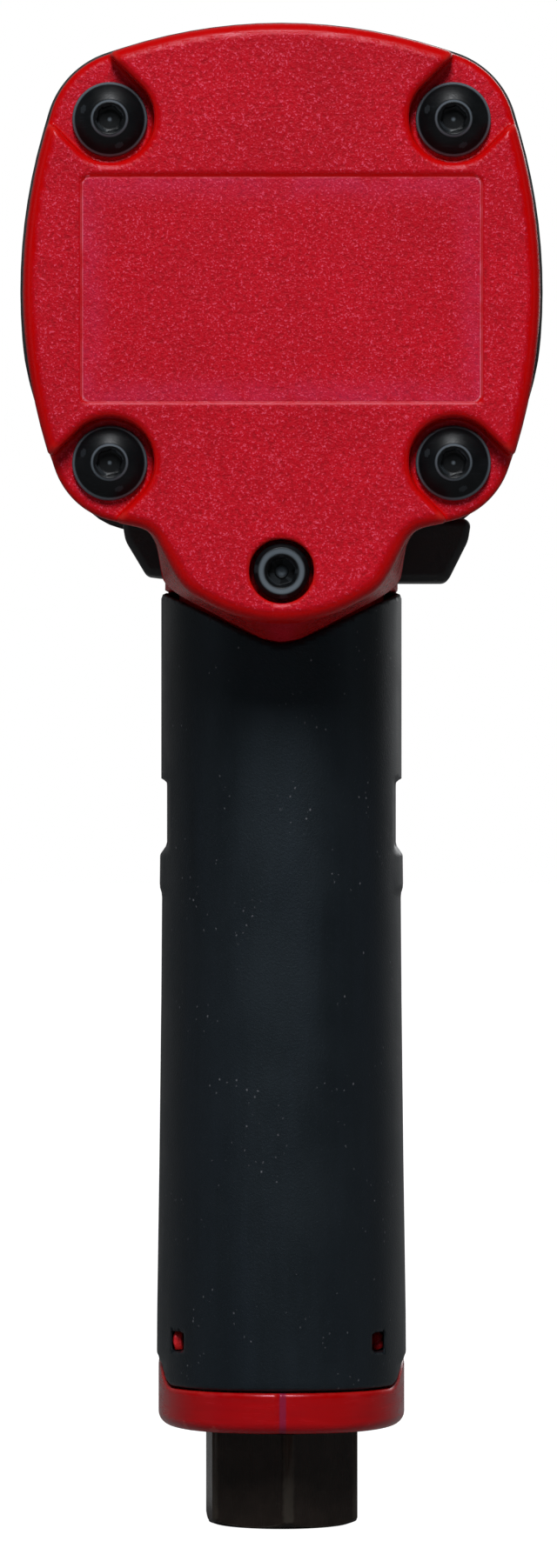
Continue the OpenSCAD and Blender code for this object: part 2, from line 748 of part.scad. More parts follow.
module rotor() {
    slot_bottom = rotor_r - vane_depth - 0.4;
    d0 = liner_d0 + 0.15;
    d1 = liner_d1 - 0.15;
    rear_r = rear_bearing[0] - 0.01;
    front_r = front_bearing[0] - 0.01;
    spline_d = front_bearing_d + front_bearing[2] + 0.2;
    spline_r = 4.6;
    color("#7e8186") difference() {
        union() {
            ring(d0, d1, rotor_r);
            ring(rear_bearing_d - 0.2, d0 + 0.1, rear_r);
            ring(d1 - 0.1, spline_d, front_r);
            ring(spline_d - 0.1, cage_d0 + cage_disc_t - 0.2, spline_r);
            for (a = [0 : 45 : 315]) rotate([0, a, 0])
                block(-0.8, 0.8, spline_d - 0.1, cage_d0 + cage_disc_t - 0.2,
                      spline_r - 0.6, spline_r + 0.9);
        }
        for (i = [0 : vane_count - 1]) rotate([0, 360 * i / vane_count, 0])
            block(-vane_t / 2 - 0.05, vane_t / 2 + 0.05, d0 - 1, d1 + 1, slot_bottom, rotor_r + 1);
    }
}

module rotor_vanes() {
    color("#5b3a22") for (i = [0 : vane_count - 1]) rotate([0, 360 * i / vane_count, 0])
        block(-vane_t / 2, vane_t / 2, liner_d0 + 0.25, liner_d1 - 0.25,
              rotor_r - vane_depth - 0.2, rotor_r - 0.25);
}

// A deep-groove bearing race; the groove clears the balls a little
module race(bearing, d, outer) {
    mid = d + bearing[2] / 2;
    wall_in = outer ? bearing[3] + bearing[4] * 0.45 : bearing[0];
    wall_out = outer ? bearing[1] : bearing[3] - bearing[4] * 0.45;
    at_depth(mid) rotate([-90, 0, 0]) rotate_extrude() difference() {
        translate([wall_in, -bearing[2] / 2]) square([wall_out - wall_in, bearing[2]]);
        translate([bearing[3], 0]) circle(r = bearing[4] + 0.06);
    }
}

module bearing_balls(bearing, d, count) {
    for (i = [0 : count - 1]) rotate([0, 360 * (i + 0.5) / count, 0])
        translate([bearing[3], 0, 0]) at_depth(d + bearing[2] / 2) sphere(r = bearing[4]);
}

module rear_bearing_outer_race() {
    color("#b5b7ba") race(rear_bearing, rear_bearing_d, true);
}

module rear_bearing_inner_race() {
    color("#b5b7ba") race(rear_bearing, rear_bearing_d, false);
}

module rear_bearing_balls() {
    color("#d5d6d8") bearing_balls(rear_bearing, rear_bearing_d, rear_ball_count);
}

module front_bearing_outer_race() {
    color("#b5b7ba") race(front_bearing, front_bearing_d, true);
}

module front_bearing_inner_race() {
    color("#b5b7ba") race(front_bearing, front_bearing_d, false);
}

module front_bearing_balls() {
    color("#d5d6d8") bearing_balls(front_bearing, front_bearing_d, front_ball_count);
}

// ---- Hammers ----

module hammer_cage() {
    color("#6f7277") difference() {
        union() {
            ring(cage_d0, cage_d0 + cage_disc_t, cage_r);
            ring(cage_front_d, cage_d1, cage_r);
            difference() {
                ring(cage_d0 + 1, cage_d1 - 1, cage_r, cage_r - 1.6);
                for (side = [0, 180]) rotate([0, side, 0])
                    block(-30, 30, cage_d0 + cage_disc_t, cage_front_d, 8, 30);
            }
        }
        ring(cage_d0 - 1, cage_d0 + cage_disc_t + 1, 4.7);
        for (a = [0 : 45 : 315]) rotate([0, a, 0])
            block(-0.9, 0.9, cage_d0 - 1, cage_d0 + cage_disc_t + 1, 3, 5.65);
        ring(cage_front_d - 1, cage_d1 + 1, 11.2);
        for (z = [-hammer_pin_at, hammer_pin_at])
            bar_y(0, z, cage_d0 + 1, cage_d1 + 1, hammer_pin_r + 0.03);
    }
}

module hammer_pins() {
    color("#9c9ea2") for (z = [-hammer_pin_at, hammer_pin_at])
        bar_y(0, z, cage_d0 + 1.05, cage_d1 - 0.2, hammer_pin_r);
}

module hammer(d0) {
    // Rocks on the upper pin; the lower half of its opening is the dog that strikes the anvil
    color("#55585d") difference() {
        ring(d0, d0 + hammer_len, hammer_r);
        ring(d0 - 1, d0 + hammer_len + 1, 9.6);
        difference() {
            ring(d0 - 1, d0 + hammer_len + 1, 12);
            block(-15, 15, d0 - 2, d0 + hammer_len + 2, -15, -2);
        }
        bar_y(0, hammer_pin_at, d0 - 1, d0 + hammer_len + 1, hammer_pin_r + 0.04);
        block(-5.6, 5.6, d0 - 1, d0 + hammer_len + 1, -30, -13.4);
    }
}

module rear_hammer() {
    hammer(hammer_rear_d);
}

module front_hammer() {
    rotate([0, 180, 0]) hammer(hammer_front_d);
}

module anvil() {
    shank_r = 8;
    groove_d = head_len + drive_len - 4;
    color("#6a6c70") difference() {
        union() {
            ring(hammer_rear_d - 0.2, cage_d1, shank_r);
            anvil_jaw_pair();
            ring(cage_front_d + 0.3, head_len, anvil_r - 0.01);
            intersection() {
                block(-drive_af / 2, drive_af / 2, head_len - 1, head_len + drive_len,
                      -drive_af / 2, drive_af / 2);
                ring(head_len - 2, head_len + drive_len + 1, 8.5);
            }
        }
        ring(groove_d, groove_d + 2, 20, 6.1);
        bar_y(0, 0, head_len + drive_len - 1, head_len + drive_len + 1, 1.2);
    }
}

module anvil_jaw_pair() {
    intersection() {
        anvil_jaw_wedge(hammer_rear_d, 0);
        ring(hammer_rear_d + 0.2, hammer_rear_d + hammer_len - 0.2, 10.6);
    }
    intersection() {
        anvil_jaw_wedge(hammer_front_d, 180);
        ring(hammer_front_d + 0.2, hammer_front_d + hammer_len - 0.2, 10.6);
    }
}

module anvil_jaw_wedge(d0, turn) {
    rotate([0, turn, 0]) slab(d0, d0 + hammer_len) polygon([[0, 0], [9, 13], [-9, 13]]);
}

module socket_ring() {
    ring_d = head_len + drive_len - 3.95;
    color("#a9abaf") difference() {
        ring(ring_d, ring_d + 1.9, 7.9, 6.95);
        block(-1, 1, 0, 200, 0, 20);
    }
}

module socket_ring_cushion() {
    color("#101010") at_depth(head_len + drive_len - 3) rotate([-90, 0, 0]) rotate_extrude()
        translate([6.53, 0]) circle(r = 0.38);
}

module anvil_bushing() {
    color("#b08d3a") ring(bushing_d0, bushing_d1, bushing_r, anvil_r + 0.04);
}

module nose_seal() {
    color("#191919") ring(bushing_d1 + 0.1, case_d1 - 0.2, bushing_r, anvil_r + 0.12);
}

module hammer_case() {
    // A square flange with screw bosses that runs into a round, tapering nose
    flange_d1 = case_d0 + case_flange_len;
    body_r = 29.4;
    nose_r = 17;
    shoulder_d = cage_d1 + 1.4;
    profile = rounded([[10, case_d0 + 1, 0.1], [10, case_d1, 0.1], [nose_r, case_d1, 1.2],
                       [nose_r + 0.6, case_d1 - 5, 3], [body_r, shoulder_d, 9],
                       [body_r, case_d0 + 1, 0.1]], 0, 5);
    color("#3b3d40") difference() {
        union() {
            slab(case_d0, case_d0 + 4) plain_outline(-0.2);
            at_case_screws() bar_y(0, 0, case_d0, flange_d1, 5.4);
            at_depth(0) rotate([-90, 0, 0]) rotate_extrude() polygon(profile);
        }
        ring(case_d0 - 1, bushing_d0 - 0.2, case_bore_r);
        ring(bushing_d0 - 1, case_d1 + 1, bushing_r + 0.03);
        at_case_screws() bar_y(0, 0, case_d0 - 1, flange_d1 - 1.5, 2.5);
    }
}

rear_cover();
rear_gasket();
case_screws();
lower_screw();
lower_screw_insert();
motor_housing();
grip_sleeve();
base_ring();
base_gasket();
exhaust_silencer();
rear_end_plate();
motor_cylinder();
cylinder_dowel();
front_end_plate();
rear_bearing_outer_race();
rear_bearing_balls();
rear_bearing_inner_race();
front_bearing_outer_race();
front_bearing_balls();
front_bearing_inner_race();
rotor();
rotor_vanes();
hammer_cage();
hammer_pins();
rear_hammer();
front_hammer();
hammer_case();
case_gasket();
anvil_bushing();
nose_seal();
anvil();
socket_ring();
socket_ring_cushion();
trigger();
trigger_stem();
trigger_cross_pin();
trigger_bushing();
throttle_valve();
throttle_valve_washer();
throttle_seat();
throttle_spring();
reverse_spool();
reverse_sleeve();
reverse_button_left();
reverse_button_right();
reverse_o_rings();
detent_ball();
detent_spring();
inlet_bushing();
inlet_o_ring();
inlet_screen();
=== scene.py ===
"""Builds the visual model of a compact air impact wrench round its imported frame."""

import json
import math

import bpy
import numpy as np
from bpy.props import FloatProperty, FloatVectorProperty, PointerProperty
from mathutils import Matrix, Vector


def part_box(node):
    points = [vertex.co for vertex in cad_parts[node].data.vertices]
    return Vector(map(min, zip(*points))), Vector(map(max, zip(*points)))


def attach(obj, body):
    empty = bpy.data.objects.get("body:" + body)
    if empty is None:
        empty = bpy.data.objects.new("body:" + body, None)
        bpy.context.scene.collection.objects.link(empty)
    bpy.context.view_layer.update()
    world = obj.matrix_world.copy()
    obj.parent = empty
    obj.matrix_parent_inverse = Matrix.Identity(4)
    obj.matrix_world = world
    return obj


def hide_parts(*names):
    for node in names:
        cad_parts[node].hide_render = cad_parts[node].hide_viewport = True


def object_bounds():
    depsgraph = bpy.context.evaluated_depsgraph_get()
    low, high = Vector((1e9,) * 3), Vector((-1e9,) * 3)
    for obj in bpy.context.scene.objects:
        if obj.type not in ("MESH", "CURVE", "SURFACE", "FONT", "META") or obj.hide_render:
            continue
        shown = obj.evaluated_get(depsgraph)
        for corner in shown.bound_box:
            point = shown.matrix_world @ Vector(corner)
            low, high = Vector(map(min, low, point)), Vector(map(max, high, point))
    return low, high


bl_info = {
    "name": "Air Impact Wrench",
    "version": (1, 0, 0),
    "blender": (4, 5, 0),
    "location": "3D View > Sidebar > Impact Wrench",
    "description": "Builds the shells, fittings, finishes and studio of an air impact wrench",
    "category": "Add Mesh",
}

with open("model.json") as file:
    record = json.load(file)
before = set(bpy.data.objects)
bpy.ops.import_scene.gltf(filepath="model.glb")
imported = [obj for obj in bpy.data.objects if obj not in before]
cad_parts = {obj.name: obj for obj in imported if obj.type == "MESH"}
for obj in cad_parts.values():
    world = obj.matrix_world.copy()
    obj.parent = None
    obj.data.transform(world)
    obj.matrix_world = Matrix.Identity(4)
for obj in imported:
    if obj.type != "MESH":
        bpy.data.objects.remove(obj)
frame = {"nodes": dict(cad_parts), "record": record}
CAD_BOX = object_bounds()
CAD_MIDDLE = [(low + high) / 2 for low, high in zip(*CAD_BOX)]
MM = 0.001


def node_span(node, axis):
    """Lowest and highest place of a CAD node along one axis, in millimetres."""
    low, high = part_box(node)
    return low[axis] / MM, high[axis] / MM


# Shapes are drawn in millimetres as (x, depth, z). Depth is the distance in front of the rear face
# of the head, and x and z are measured from the spindle axis.
REAR_Y = node_span("rear_cover", 1)[0]
SHOULDER_DEPTH = -REAR_Y
COVER_DEPTH = node_span("rear_cover", 1)[1] - REAR_Y
HOUSING_FRONT = node_span("case_gasket", 1)[0] - REAR_Y
CASE_BACK = node_span("hammer_case", 1)[0] - REAR_Y
CASE_FRONT = node_span("hammer_case", 1)[1] - REAR_Y
DRIVE_TIP = node_span("anvil", 1)[1] - REAR_Y
HANDLE_DEPTH = sum(node_span("inlet_o_ring", 1)) / 2 - REAR_Y
FOOT_Z = node_span("base_ring", 2)[0]
INLET_Z = node_span("inlet_bushing", 2)[0]
TRIGGER_Z = sum(node_span("trigger_stem", 2)) / 2
REVERSE_Z = sum(node_span("reverse_spool", 2)) / 2
REVERSE_DEPTH = sum(node_span("reverse_spool", 1)) / 2 - REAR_Y
SCREW_HEAD = 4.75
SCREW_AT = (node_span("case_screws", 0)[1] + node_span("case_screws", 2)[1]) / 2 - SCREW_HEAD
LOWER_SCREW_Z = sum(node_span("lower_screw", 2)) / 2

# The handle's section and the heights that its pieces share
HANDLE_HALF_WIDTH = 15.6
HANDLE_HALF_DEPTH = 21
RUBBER_TOP = -37.1
RUBBER_END = -136.9


# ---- Sizes and colours that a user may change ----


class HeadSizes(bpy.types.PropertyGroup):
    """Sizes of the head's mouldings"""

    rim: FloatProperty(
        name="Rim", description="Radius of the rounded edge of the rear cover", default=1.7 * MM,
        min=0.5 * MM, max=3 * MM, precision=4, unit="LENGTH", subtype="DISTANCE")
    label_depth: FloatProperty(
        name="Label recess", description="Depth of the blank label recess", default=0.25 * MM,
        min=0.05 * MM, max=0.6 * MM, precision=4, unit="LENGTH", subtype="DISTANCE")
    pocket_edge: FloatProperty(
        name="Pocket edge", description="Softness of the edges of the screw pockets", default=0.9 * MM,
        min=0.2 * MM, max=2 * MM, precision=4, unit="LENGTH", subtype="DISTANCE")


class GripSizes(bpy.types.PropertyGroup):
    """Sizes of the rubber grip"""

    half_width: FloatProperty(
        name="Half width", description="Half the width of the rubber in the palm",
        default=HANDLE_HALF_WIDTH * MM, min=15 * MM, max=16 * MM, precision=4,
        unit="LENGTH", subtype="DISTANCE")
    half_depth: FloatProperty(
        name="Half depth", description="Half the depth of the rubber, front to back",
        default=HANDLE_HALF_DEPTH * MM, min=20 * MM, max=21 * MM, precision=4,
        unit="LENGTH", subtype="DISTANCE")
    edge: FloatProperty(
        name="Edge", description="Radius of the rubber's free edges", default=0.6 * MM,
        min=0.2 * MM, max=1 * MM, precision=4, unit="LENGTH", subtype="DISTANCE")


class Finishes(bpy.types.PropertyGroup):
    """Colours of the finishes"""

    housing: FloatVectorProperty(
        name="Housing", description="Grained red of the cover and the motor housing",
        subtype="COLOR", size=3, min=0, max=1, default=(0.54, 0.002, 0.011))
    gloss: FloatVectorProperty(
        name="Gloss red", description="Smooth red of the rim and the foot ring",
        subtype="COLOR", size=3, min=0, max=1, default=(0.5, 0.0008, 0.0008))
    rubber: FloatVectorProperty(
        name="Rubber", description="Black of the grip",
        subtype="COLOR", size=3, min=0, max=1, default=(0.0034, 0.0046, 0.006))
    oxide: FloatVectorProperty(
        name="Black oxide", description="Blackened steel of the screws",
        subtype="COLOR", size=3, min=0, max=1, default=(0.0025, 0.003, 0.0036))
    inlet: FloatVectorProperty(
        name="Inlet", description="Brown-black steel of the air inlet",
        subtype="COLOR", size=3, min=0, max=1, default=(0.014, 0.010, 0.008))
    case: FloatVectorProperty(
        name="Hammer case", description="Dark coat of the hammer case",
        subtype="COLOR", size=3, min=0, max=1, default=(0.032, 0.034, 0.038))
    floor: FloatVectorProperty(
        name="Floor", description="Pale floor of the studio",
        subtype="COLOR", size=3, min=0, max=1, default=(0.86, 0.86, 0.86))


# ---- Fields: distances in millimetres that are negative inside the material ----


def both(a, b, radius=0.0):
    """Where two fields overlap, with the edge between them rounded."""
    if radius == 0:
        return np.maximum(a, b)
    corner = np.hypot(np.maximum(radius + a, 0), np.maximum(radius + b, 0))
    return np.minimum(-radius, np.maximum(a, b)) + corner


def either(a, b, radius=0.0):
    """Two fields joined, with a fillet between them."""
    return -both(-a, -b, radius)


def without(a, b, radius=0.0):
    """The first field with the second cut out of it."""
    return both(a, -b, radius)


def between(value, low, high):
    """A slab from one value to another."""
    return np.abs(value - (low + high) / 2) - (high - low) / 2


def rod(a, b, radius):
    """A round rod, endless along the third axis."""
    return np.hypot(a, b) - radius


def panel(a, b, half_a, half_b, radius):
    """A rectangle with rounded corners about the middle of two axes."""
    over_a = np.abs(a) - half_a + radius
    over_b = np.abs(b) - half_b + radius
    inside = np.minimum(np.maximum(over_a, over_b), 0)
    return np.hypot(np.maximum(over_a, 0), np.maximum(over_b, 0)) + inside - radius


OVAL_POWER = 2.5


def oval(a, b, half_a, half_b):
    """The handle's section: an oval squared up a little at its corners."""
    part_a = np.abs(a) / half_a
    part_b = np.abs(b) / half_b
    total = part_a**OVAL_POWER + part_b**OVAL_POWER + 1e-9
    steep = np.hypot(part_a ** (OVAL_POWER - 1) / half_a, part_b ** (OVAL_POWER - 1) / half_b)
    slope = total ** (1 / OVAL_POWER - 1) * steep
    return (total ** (1 / OVAL_POWER) - 1) / np.maximum(slope, 0.02)


def smooth_step(value, low, high):
    """0 up to the low value and 1 from the high one, with a smooth rise between them."""
    t = np.clip((value - low) / (high - low), 0, 1)
    return t * t * (3 - 2 * t)


def rounded_corners(corners, steps=14):
    """A closed outline with an arc at each corner; corners run clockwise as (x, z, radius)."""
    points = []
    spots = [np.array(c[:2], float) for c in corners]
    for i, (_, _, radius) in enumerate(corners):
        before, at, after = spots[i - 1], spots[i], spots[(i + 1) % len(spots)]
        u = (before - at) / np.linalg.norm(before - at)
        v = (after - at) / np.linalg.norm(after - at)
        half = math.acos(float(u @ v)) / 2
        centre = at + (u + v) / np.linalg.norm(u + v) * radius / math.sin(half)
        start = at + u * radius / math.tan(half) - centre
        first = math.atan2(start[1], start[0])
        ahead, behind = after - at, at - before
        swing = math.copysign(math.pi - 2 * half, behind[0] * ahead[1] - behind[1] * ahead[0])
        for k in range(steps + 1):
            angle = first + swing * k / steps
            points.append(centre + radius * np.array([math.cos(angle), math.sin(angle)]))
    return np.array(points)


class Outline:
    """A closed outline in x and z, kept as a fine table of distances from it."""

    margin = 9.0
    pitch = 0.2

    def __init__(self, points):
        self.low = points.min(0) - self.margin
        high = points.max(0) + self.margin
        xs = np.arange(self.low[0], high[0], self.pitch)
        zs = np.arange(self.low[1], high[1], self.pitch)
        x, z = np.meshgrid(xs, zs, indexing="ij")
        nearest = np.full(x.shape, 1e9)
        crossed = np.zeros(x.shape, bool)
        for (ax, az), (bx, bz) in zip(points, np.roll(points, -1, 0)):
            ex, ez = bx - ax, bz - az
            length = ex * ex + ez * ez
            if length < 1e-12:
                continue
            t = np.clip(((x - ax) * ex + (z - az) * ez) / length, 0, 1)
            nearest = np.minimum(nearest, (x - ax - t * ex) ** 2 + (z - az - t * ez) ** 2)
            if az != bz:
                spans = (az > z) != (bz > z)
                crossed ^= spans & (x < ax + (z - az) * ex / ez)
        self.table = np.where(crossed, -1, 1) * np.sqrt(nearest)

    def __call__(self, x, z):
        u = np.clip((x - self.low[0]) / self.pitch, 0, self.table.shape[0] - 1.001)
        v = np.clip((z - self.low[1]) / self.pitch, 0, self.table.shape[1] - 1.001)
        i, j = u.astype(int), v.astype(int)
        s, t = u - i, v - j
        near = self.table[i, j] * (1 - t) + self.table[i, j + 1] * t
        far = self.table[i + 1, j] * (1 - t) + self.table[i + 1, j + 1] * t
        return near * (1 - s) + far * s


def mirrored(corners):
    """The same corners on the other side, in the order that carries on round the outline."""
    return [(-x, z, radius) for x, z, radius in reversed(corners)]


def head_corners(lobe):
    """Corners of the head: plain for None, or with a lobe that flares from 0 at the rear to 1."""
    top = [(0, 36.81, 65)]
    side = [(27.3, 28, 10.5), (35.34, 0, 72), (27.2, -28, 10)]
    if lobe is None:
        return top + side + [(0, -34.5, 65)] + mirrored(side)
    foot = [(16.3, -30.2, 3.5), (12.2 + 2.8 * lobe, -37.5 + 1.2 * lobe, 6 - 4 * lobe)]
    return top + side + foot + [(0, -44.7 + 0.55 * lobe, 18.7 - 12 * lobe)] + mirrored(foot) + mirrored(side)


PLAIN_HEAD = Outline(rounded_corners(head_corners(None)))
LOBED_REAR = Outline(rounded_corners(head_corners(0)))
LOBED_FRONT = Outline(rounded_corners(head_corners(1)))


def lobed_head(x, d, z):
    """The lobed outline, whose lobe flares out from the rear face to the gasket."""
    share = np.clip(d / COVER_DEPTH, 0, 1)
    return LOBED_REAR(x, z) * (1 - share) + LOBED_FRONT(x, z) * share


# ---- Meshes ----


def slope_of(field, points, reach):
    """Direction in which a field grows, at each point."""
    rows = []
    for axis in range(3):
        step = np.zeros(3)
        step[axis] = reach
        rows.append(field(*(points + step).T) - field(*(points - step).T))
    slope = np.stack(rows, 1)
    return slope / (2 * reach)


def net_of(field, low, high, cell):
    """Points and quads of the skin where a field is zero, on a net of cells, and its normals."""
    cell = np.array(cell, float)
    low = np.array(low, float) - 1.5 * cell
    counts = np.ceil((np.array(high, float) - low) / cell).astype(int) + 3
    ticks = [low[a] + cell[a] * np.arange(counts[a]) for a in range(3)]
    value = field(*np.meshgrid(*ticks, indexing="ij"))
    sums = np.zeros((value.size, 3))
    hits = np.zeros(value.size)
    quads = []
    for axis in range(3):
        step = np.eye(3, dtype=int)[axis]
        first = value[tuple(slice(0, n - s) for n, s in zip(value.shape, step))]
        second = value[tuple(slice(s, n) for n, s in zip(value.shape, step))]
        edge = np.argwhere((first < 0) != (second < 0))
        a = value[tuple(edge.T)]
        b = value[tuple((edge + step).T)]
        crossing = low + (edge + step * (a / (a - b))[:, None]) * cell
        ring = []
        for back_u, back_v in ((0, 0), (1, 0), (1, 1), (0, 1)):
            home = edge.copy()
            home[:, (axis + 1) % 3] -= back_u
            home[:, (axis + 2) % 3] -= back_v
            flat = np.ravel_multi_index(home.T, value.shape)
            for k in range(3):
                sums[:, k] += np.bincount(flat, crossing[:, k], value.size)
            hits += np.bincount(flat, minlength=value.size)
            ring.append(flat)
        quad = np.stack(ring, 1)
        inward = a >= 0
        quad[inward] = quad[inward][:, ::-1]
        quads.append(quad)
    quads = np.concatenate(quads)
    used = np.flatnonzero(hits)
    renumber = np.zeros(value.size, int)
    renumber[used] = np.arange(len(used))
    points = sums[used] / hits[used][:, None]
    reach = 0.3 * cell.min()
    for _ in range(3):
        slope = slope_of(field, points, reach)
        steepness = np.maximum((slope**2).sum(1), 0.2)
        move = -(field(*points.T) / steepness)[:, None] * slope
        points += np.clip(move, -0.35 * cell, 0.35 * cell)
    normals = slope_of(field, points, reach)
    normals /= np.maximum(np.linalg.norm(normals, axis=1), 1e-6)[:, None]
    return points, renumber[quads], normals


def object_from(name, points, faces, normals=None):
    """A new object from points in (x, depth, z) millimetres."""
    mesh = bpy.data.meshes.new(name)
    placed = (np.asarray(points, float) + (0, REAR_Y, 0)) * MM
    mesh.from_pydata(placed.tolist(), [], [list(map(int, f)) for f in faces])
    mesh.validate()
    mesh.update()
    mesh.polygons.foreach_set("use_smooth", [True] * len(mesh.polygons))
    if normals is None:
        mesh.set_sharp_from_angle(angle=math.radians(38))
    else:
        mesh.normals_split_custom_set_from_vertices(normals.tolist())
    made = bpy.data.objects.new(name, mesh)
    bpy.context.scene.collection.objects.link(made)
    return made


def moulded(name, field, low, high, cell):
    """A moulded piece: the skin of a field, with its smooth faces marked for the grain."""
    points, quads, normals = net_of(field, low, high, cell)
    made = object_from(name, points, quads, normals)
    facing = np.abs(normals).max(1)
    mask = made.data.attributes.new("flatness", "FLOAT", "POINT")
    mask.data.foreach_set("value", smooth_step(facing, 0.955, 0.995).astype(np.float32))
    return made


def softened(profile):
    """A profile of (along, radius, softness, flats) with each soft corner drawn as a small curve."""
    steps = 4
    out = []
    last = len(profile) - 1
    for i, (along, radius, soft, flats) in enumerate(profile):
        here = np.array([along, radius], float)
        if soft == 0 or i in (0, last):
            out.append((along, radius, flats))
            continue
        before = np.array(profile[i - 1][:2], float)
        after = np.array(profile[i + 1][:2], float)
        to_before = (before - here) / max(np.linalg.norm(before - here), 1e-9)
        to_after = (after - here) / max(np.linalg.norm(after - here), 1e-9)
        for k in range(steps + 1):
            t = k / steps
            spot = here + soft * ((1 - t) ** 2 * to_before + t * t * to_after)
            out.append((spot[0], spot[1], flats))
    return out


def flat_sided(angle, radius, flats, corner):
    """Radius at an angle of a shape with flats at that radius and its corners turned off."""
    if flats == 0:
        return np.full(angle.shape, float(radius))
    wedge = 2 * math.pi / flats
    off = (angle + wedge / 2) % wedge - wedge / 2
    return np.minimum(radius / np.cos(off), corner)


def turned_rings(profile, sides, turn):
    """Rings of (a, b, along) points for a profile of (along, radius, flats)."""
    angle = 2 * math.pi * np.arange(sides) / sides
    rings = []
    for along, radius, flats in profile:
        r = flat_sided(angle - turn, radius, flats, math.inf)
        rings.append(np.stack([r * np.cos(angle), r * np.sin(angle), np.full(sides, along)], 1))
    return np.array(rings)


def ring_faces(count, sides, closed=False, start=0):
    """Quads between rings; a closed stack joins its last ring to its first."""
    k, i = np.meshgrid(np.arange(count if closed else count - 1), np.arange(sides), indexing="ij")
    k, i = k.ravel(), i.ravel()
    upper = (k + 1) % count
    nearby = (i + 1) % sides
    quads = np.stack([k * sides + i, k * sides + nearby, upper * sides + nearby, upper * sides + i], 1)
    return quads + start


def capped_faces(count, sides, start=0):
    """Faces of a solid stack of rings, with a flat fan over each end."""
    faces = ring_faces(count, sides, start=start).tolist()
    faces.append([start + i for i in range(sides - 1, -1, -1)])
    faces.append([start + (count - 1) * sides + i for i in range(sides)])
    return faces


def along_spindle(rings, x, z):
    """Rings stood along the spindle: their length runs forward from the rear face."""
    a, b, along = np.moveaxis(rings, -1, 0)
    return np.stack([x - a, along, z + b], -1).reshape(-1, 3)


def along_handle(rings):
    """Rings stood upright on the handle's axis."""
    a, b, along = np.moveaxis(rings, -1, 0)
    return np.stack([a, HANDLE_DEPTH + b, along], -1).reshape(-1, 3)


def fitted(made, node, body, material):
    """Hands a finished piece to the frame in place of its CAD node."""
    made.data.materials.clear()
    made.data.materials.append(material)
    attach(made, body)
    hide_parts(node)
    return made


# ---- Head shells ----

SCREW_BORE = 2.75
LOWER_BORE = 2.2
LOBE_DRAW_IN = 1.7
LABEL_HALF_WIDTH = 25.2
LABEL_HALF_HEIGHT = 14.35
LABEL_CORNER = 1.2
LABEL_Z = 0.05
LINER_RADIUS = node_span("motor_cylinder", 0)[1]
PLATE_BACK = node_span("rear_end_plate", 1)[0] - REAR_Y


def screw_bores(x, z, radius):
    """A rod at each of the four case screws."""
    return rod(np.abs(x) - SCREW_AT, np.abs(z) - SCREW_AT, radius)


def lower_corner(x, z):
    """How far a place belongs to the head's two lower corners, where the sides draw in."""
    return smooth_step(np.abs(x), 15, 19) * smooth_step(-z, 12, 26)


def cover_field(head):
    """The rear cover: a soft-edged face with a label recess and four open screw pockets."""
    rim, label_depth, pocket_edge = head.rim / MM, head.label_depth / MM, head.pocket_edge / MM
    seat, seat_radius = 3.6, 5.6
    lower_seat, lower_seat_radius = 4.4, 4.05
    draft, lower_draft = 0.6, 0.075
    boss_radius, boss_gap, plate_seat = 14.4, 0.4, 11

    def field(x, d, z):
        label = panel(x, z - LABEL_Z, LABEL_HALF_WIDTH, LABEL_HALF_HEIGHT, LABEL_CORNER)
        face = label_depth * smooth_step(-label, -0.15, 0.3) - d
        leaning = np.maximum(smooth_step(z, -18, 0), smooth_step(-z, 35.5, 38.5))
        side = lobed_head(x, d, z) - draft * np.clip(d / COVER_DEPTH, 0, 1) * leaning
        side = side + lower_draft * np.maximum(d, 0) * lower_corner(x, z)
        body = both(both(side, face, rim), d - COVER_DEPTH, 0.25)
        outward = (np.abs(x) + np.abs(z) - 2 * SCREW_AT) / math.sqrt(2)
        across = (np.abs(x) - np.abs(z)) / math.sqrt(2)
        slot = np.hypot(np.minimum(outward, 0), across) - seat_radius
        body = without(body, both(slot, d - seat, 0.5), pocket_edge)
        lower_pocket = both(rod(x, z - LOWER_SCREW_Z, lower_seat_radius), d - lower_seat, 0.2)
        body = without(body, lower_pocket, 0.35)
        body = without(body, rod(x, z - LOWER_SCREW_Z, LOWER_BORE), 0.2)
        body = without(body, screw_bores(x, z, SCREW_BORE), 0.2)
        boss = both(rod(x, z, boss_radius), PLATE_BACK - boss_gap - d, 0.2)
        plate = both(rod(x, z, LINER_RADIUS + 0.15), plate_seat - d, 0.2)
        return without(body, either(boss, plate), 0.2)

    return field


def handle_share(x, q):
    """How far round the handle a point is: 0 at the sides, 1 in front and behind."""
    ahead = (np.abs(q) / HANDLE_HALF_DEPTH) ** OVAL_POWER
    aside = (np.abs(x) / HANDLE_HALF_WIDTH) ** OVAL_POWER
    return ahead / (ahead + aside + 1e-9)


# Radius, bottom and top of the bores up the handle: the inlet, the throttle chamber and the supply
HANDLE_BORES = ((8.95, -141, -101), (7.45, -103, -81), (3, -83, -39))


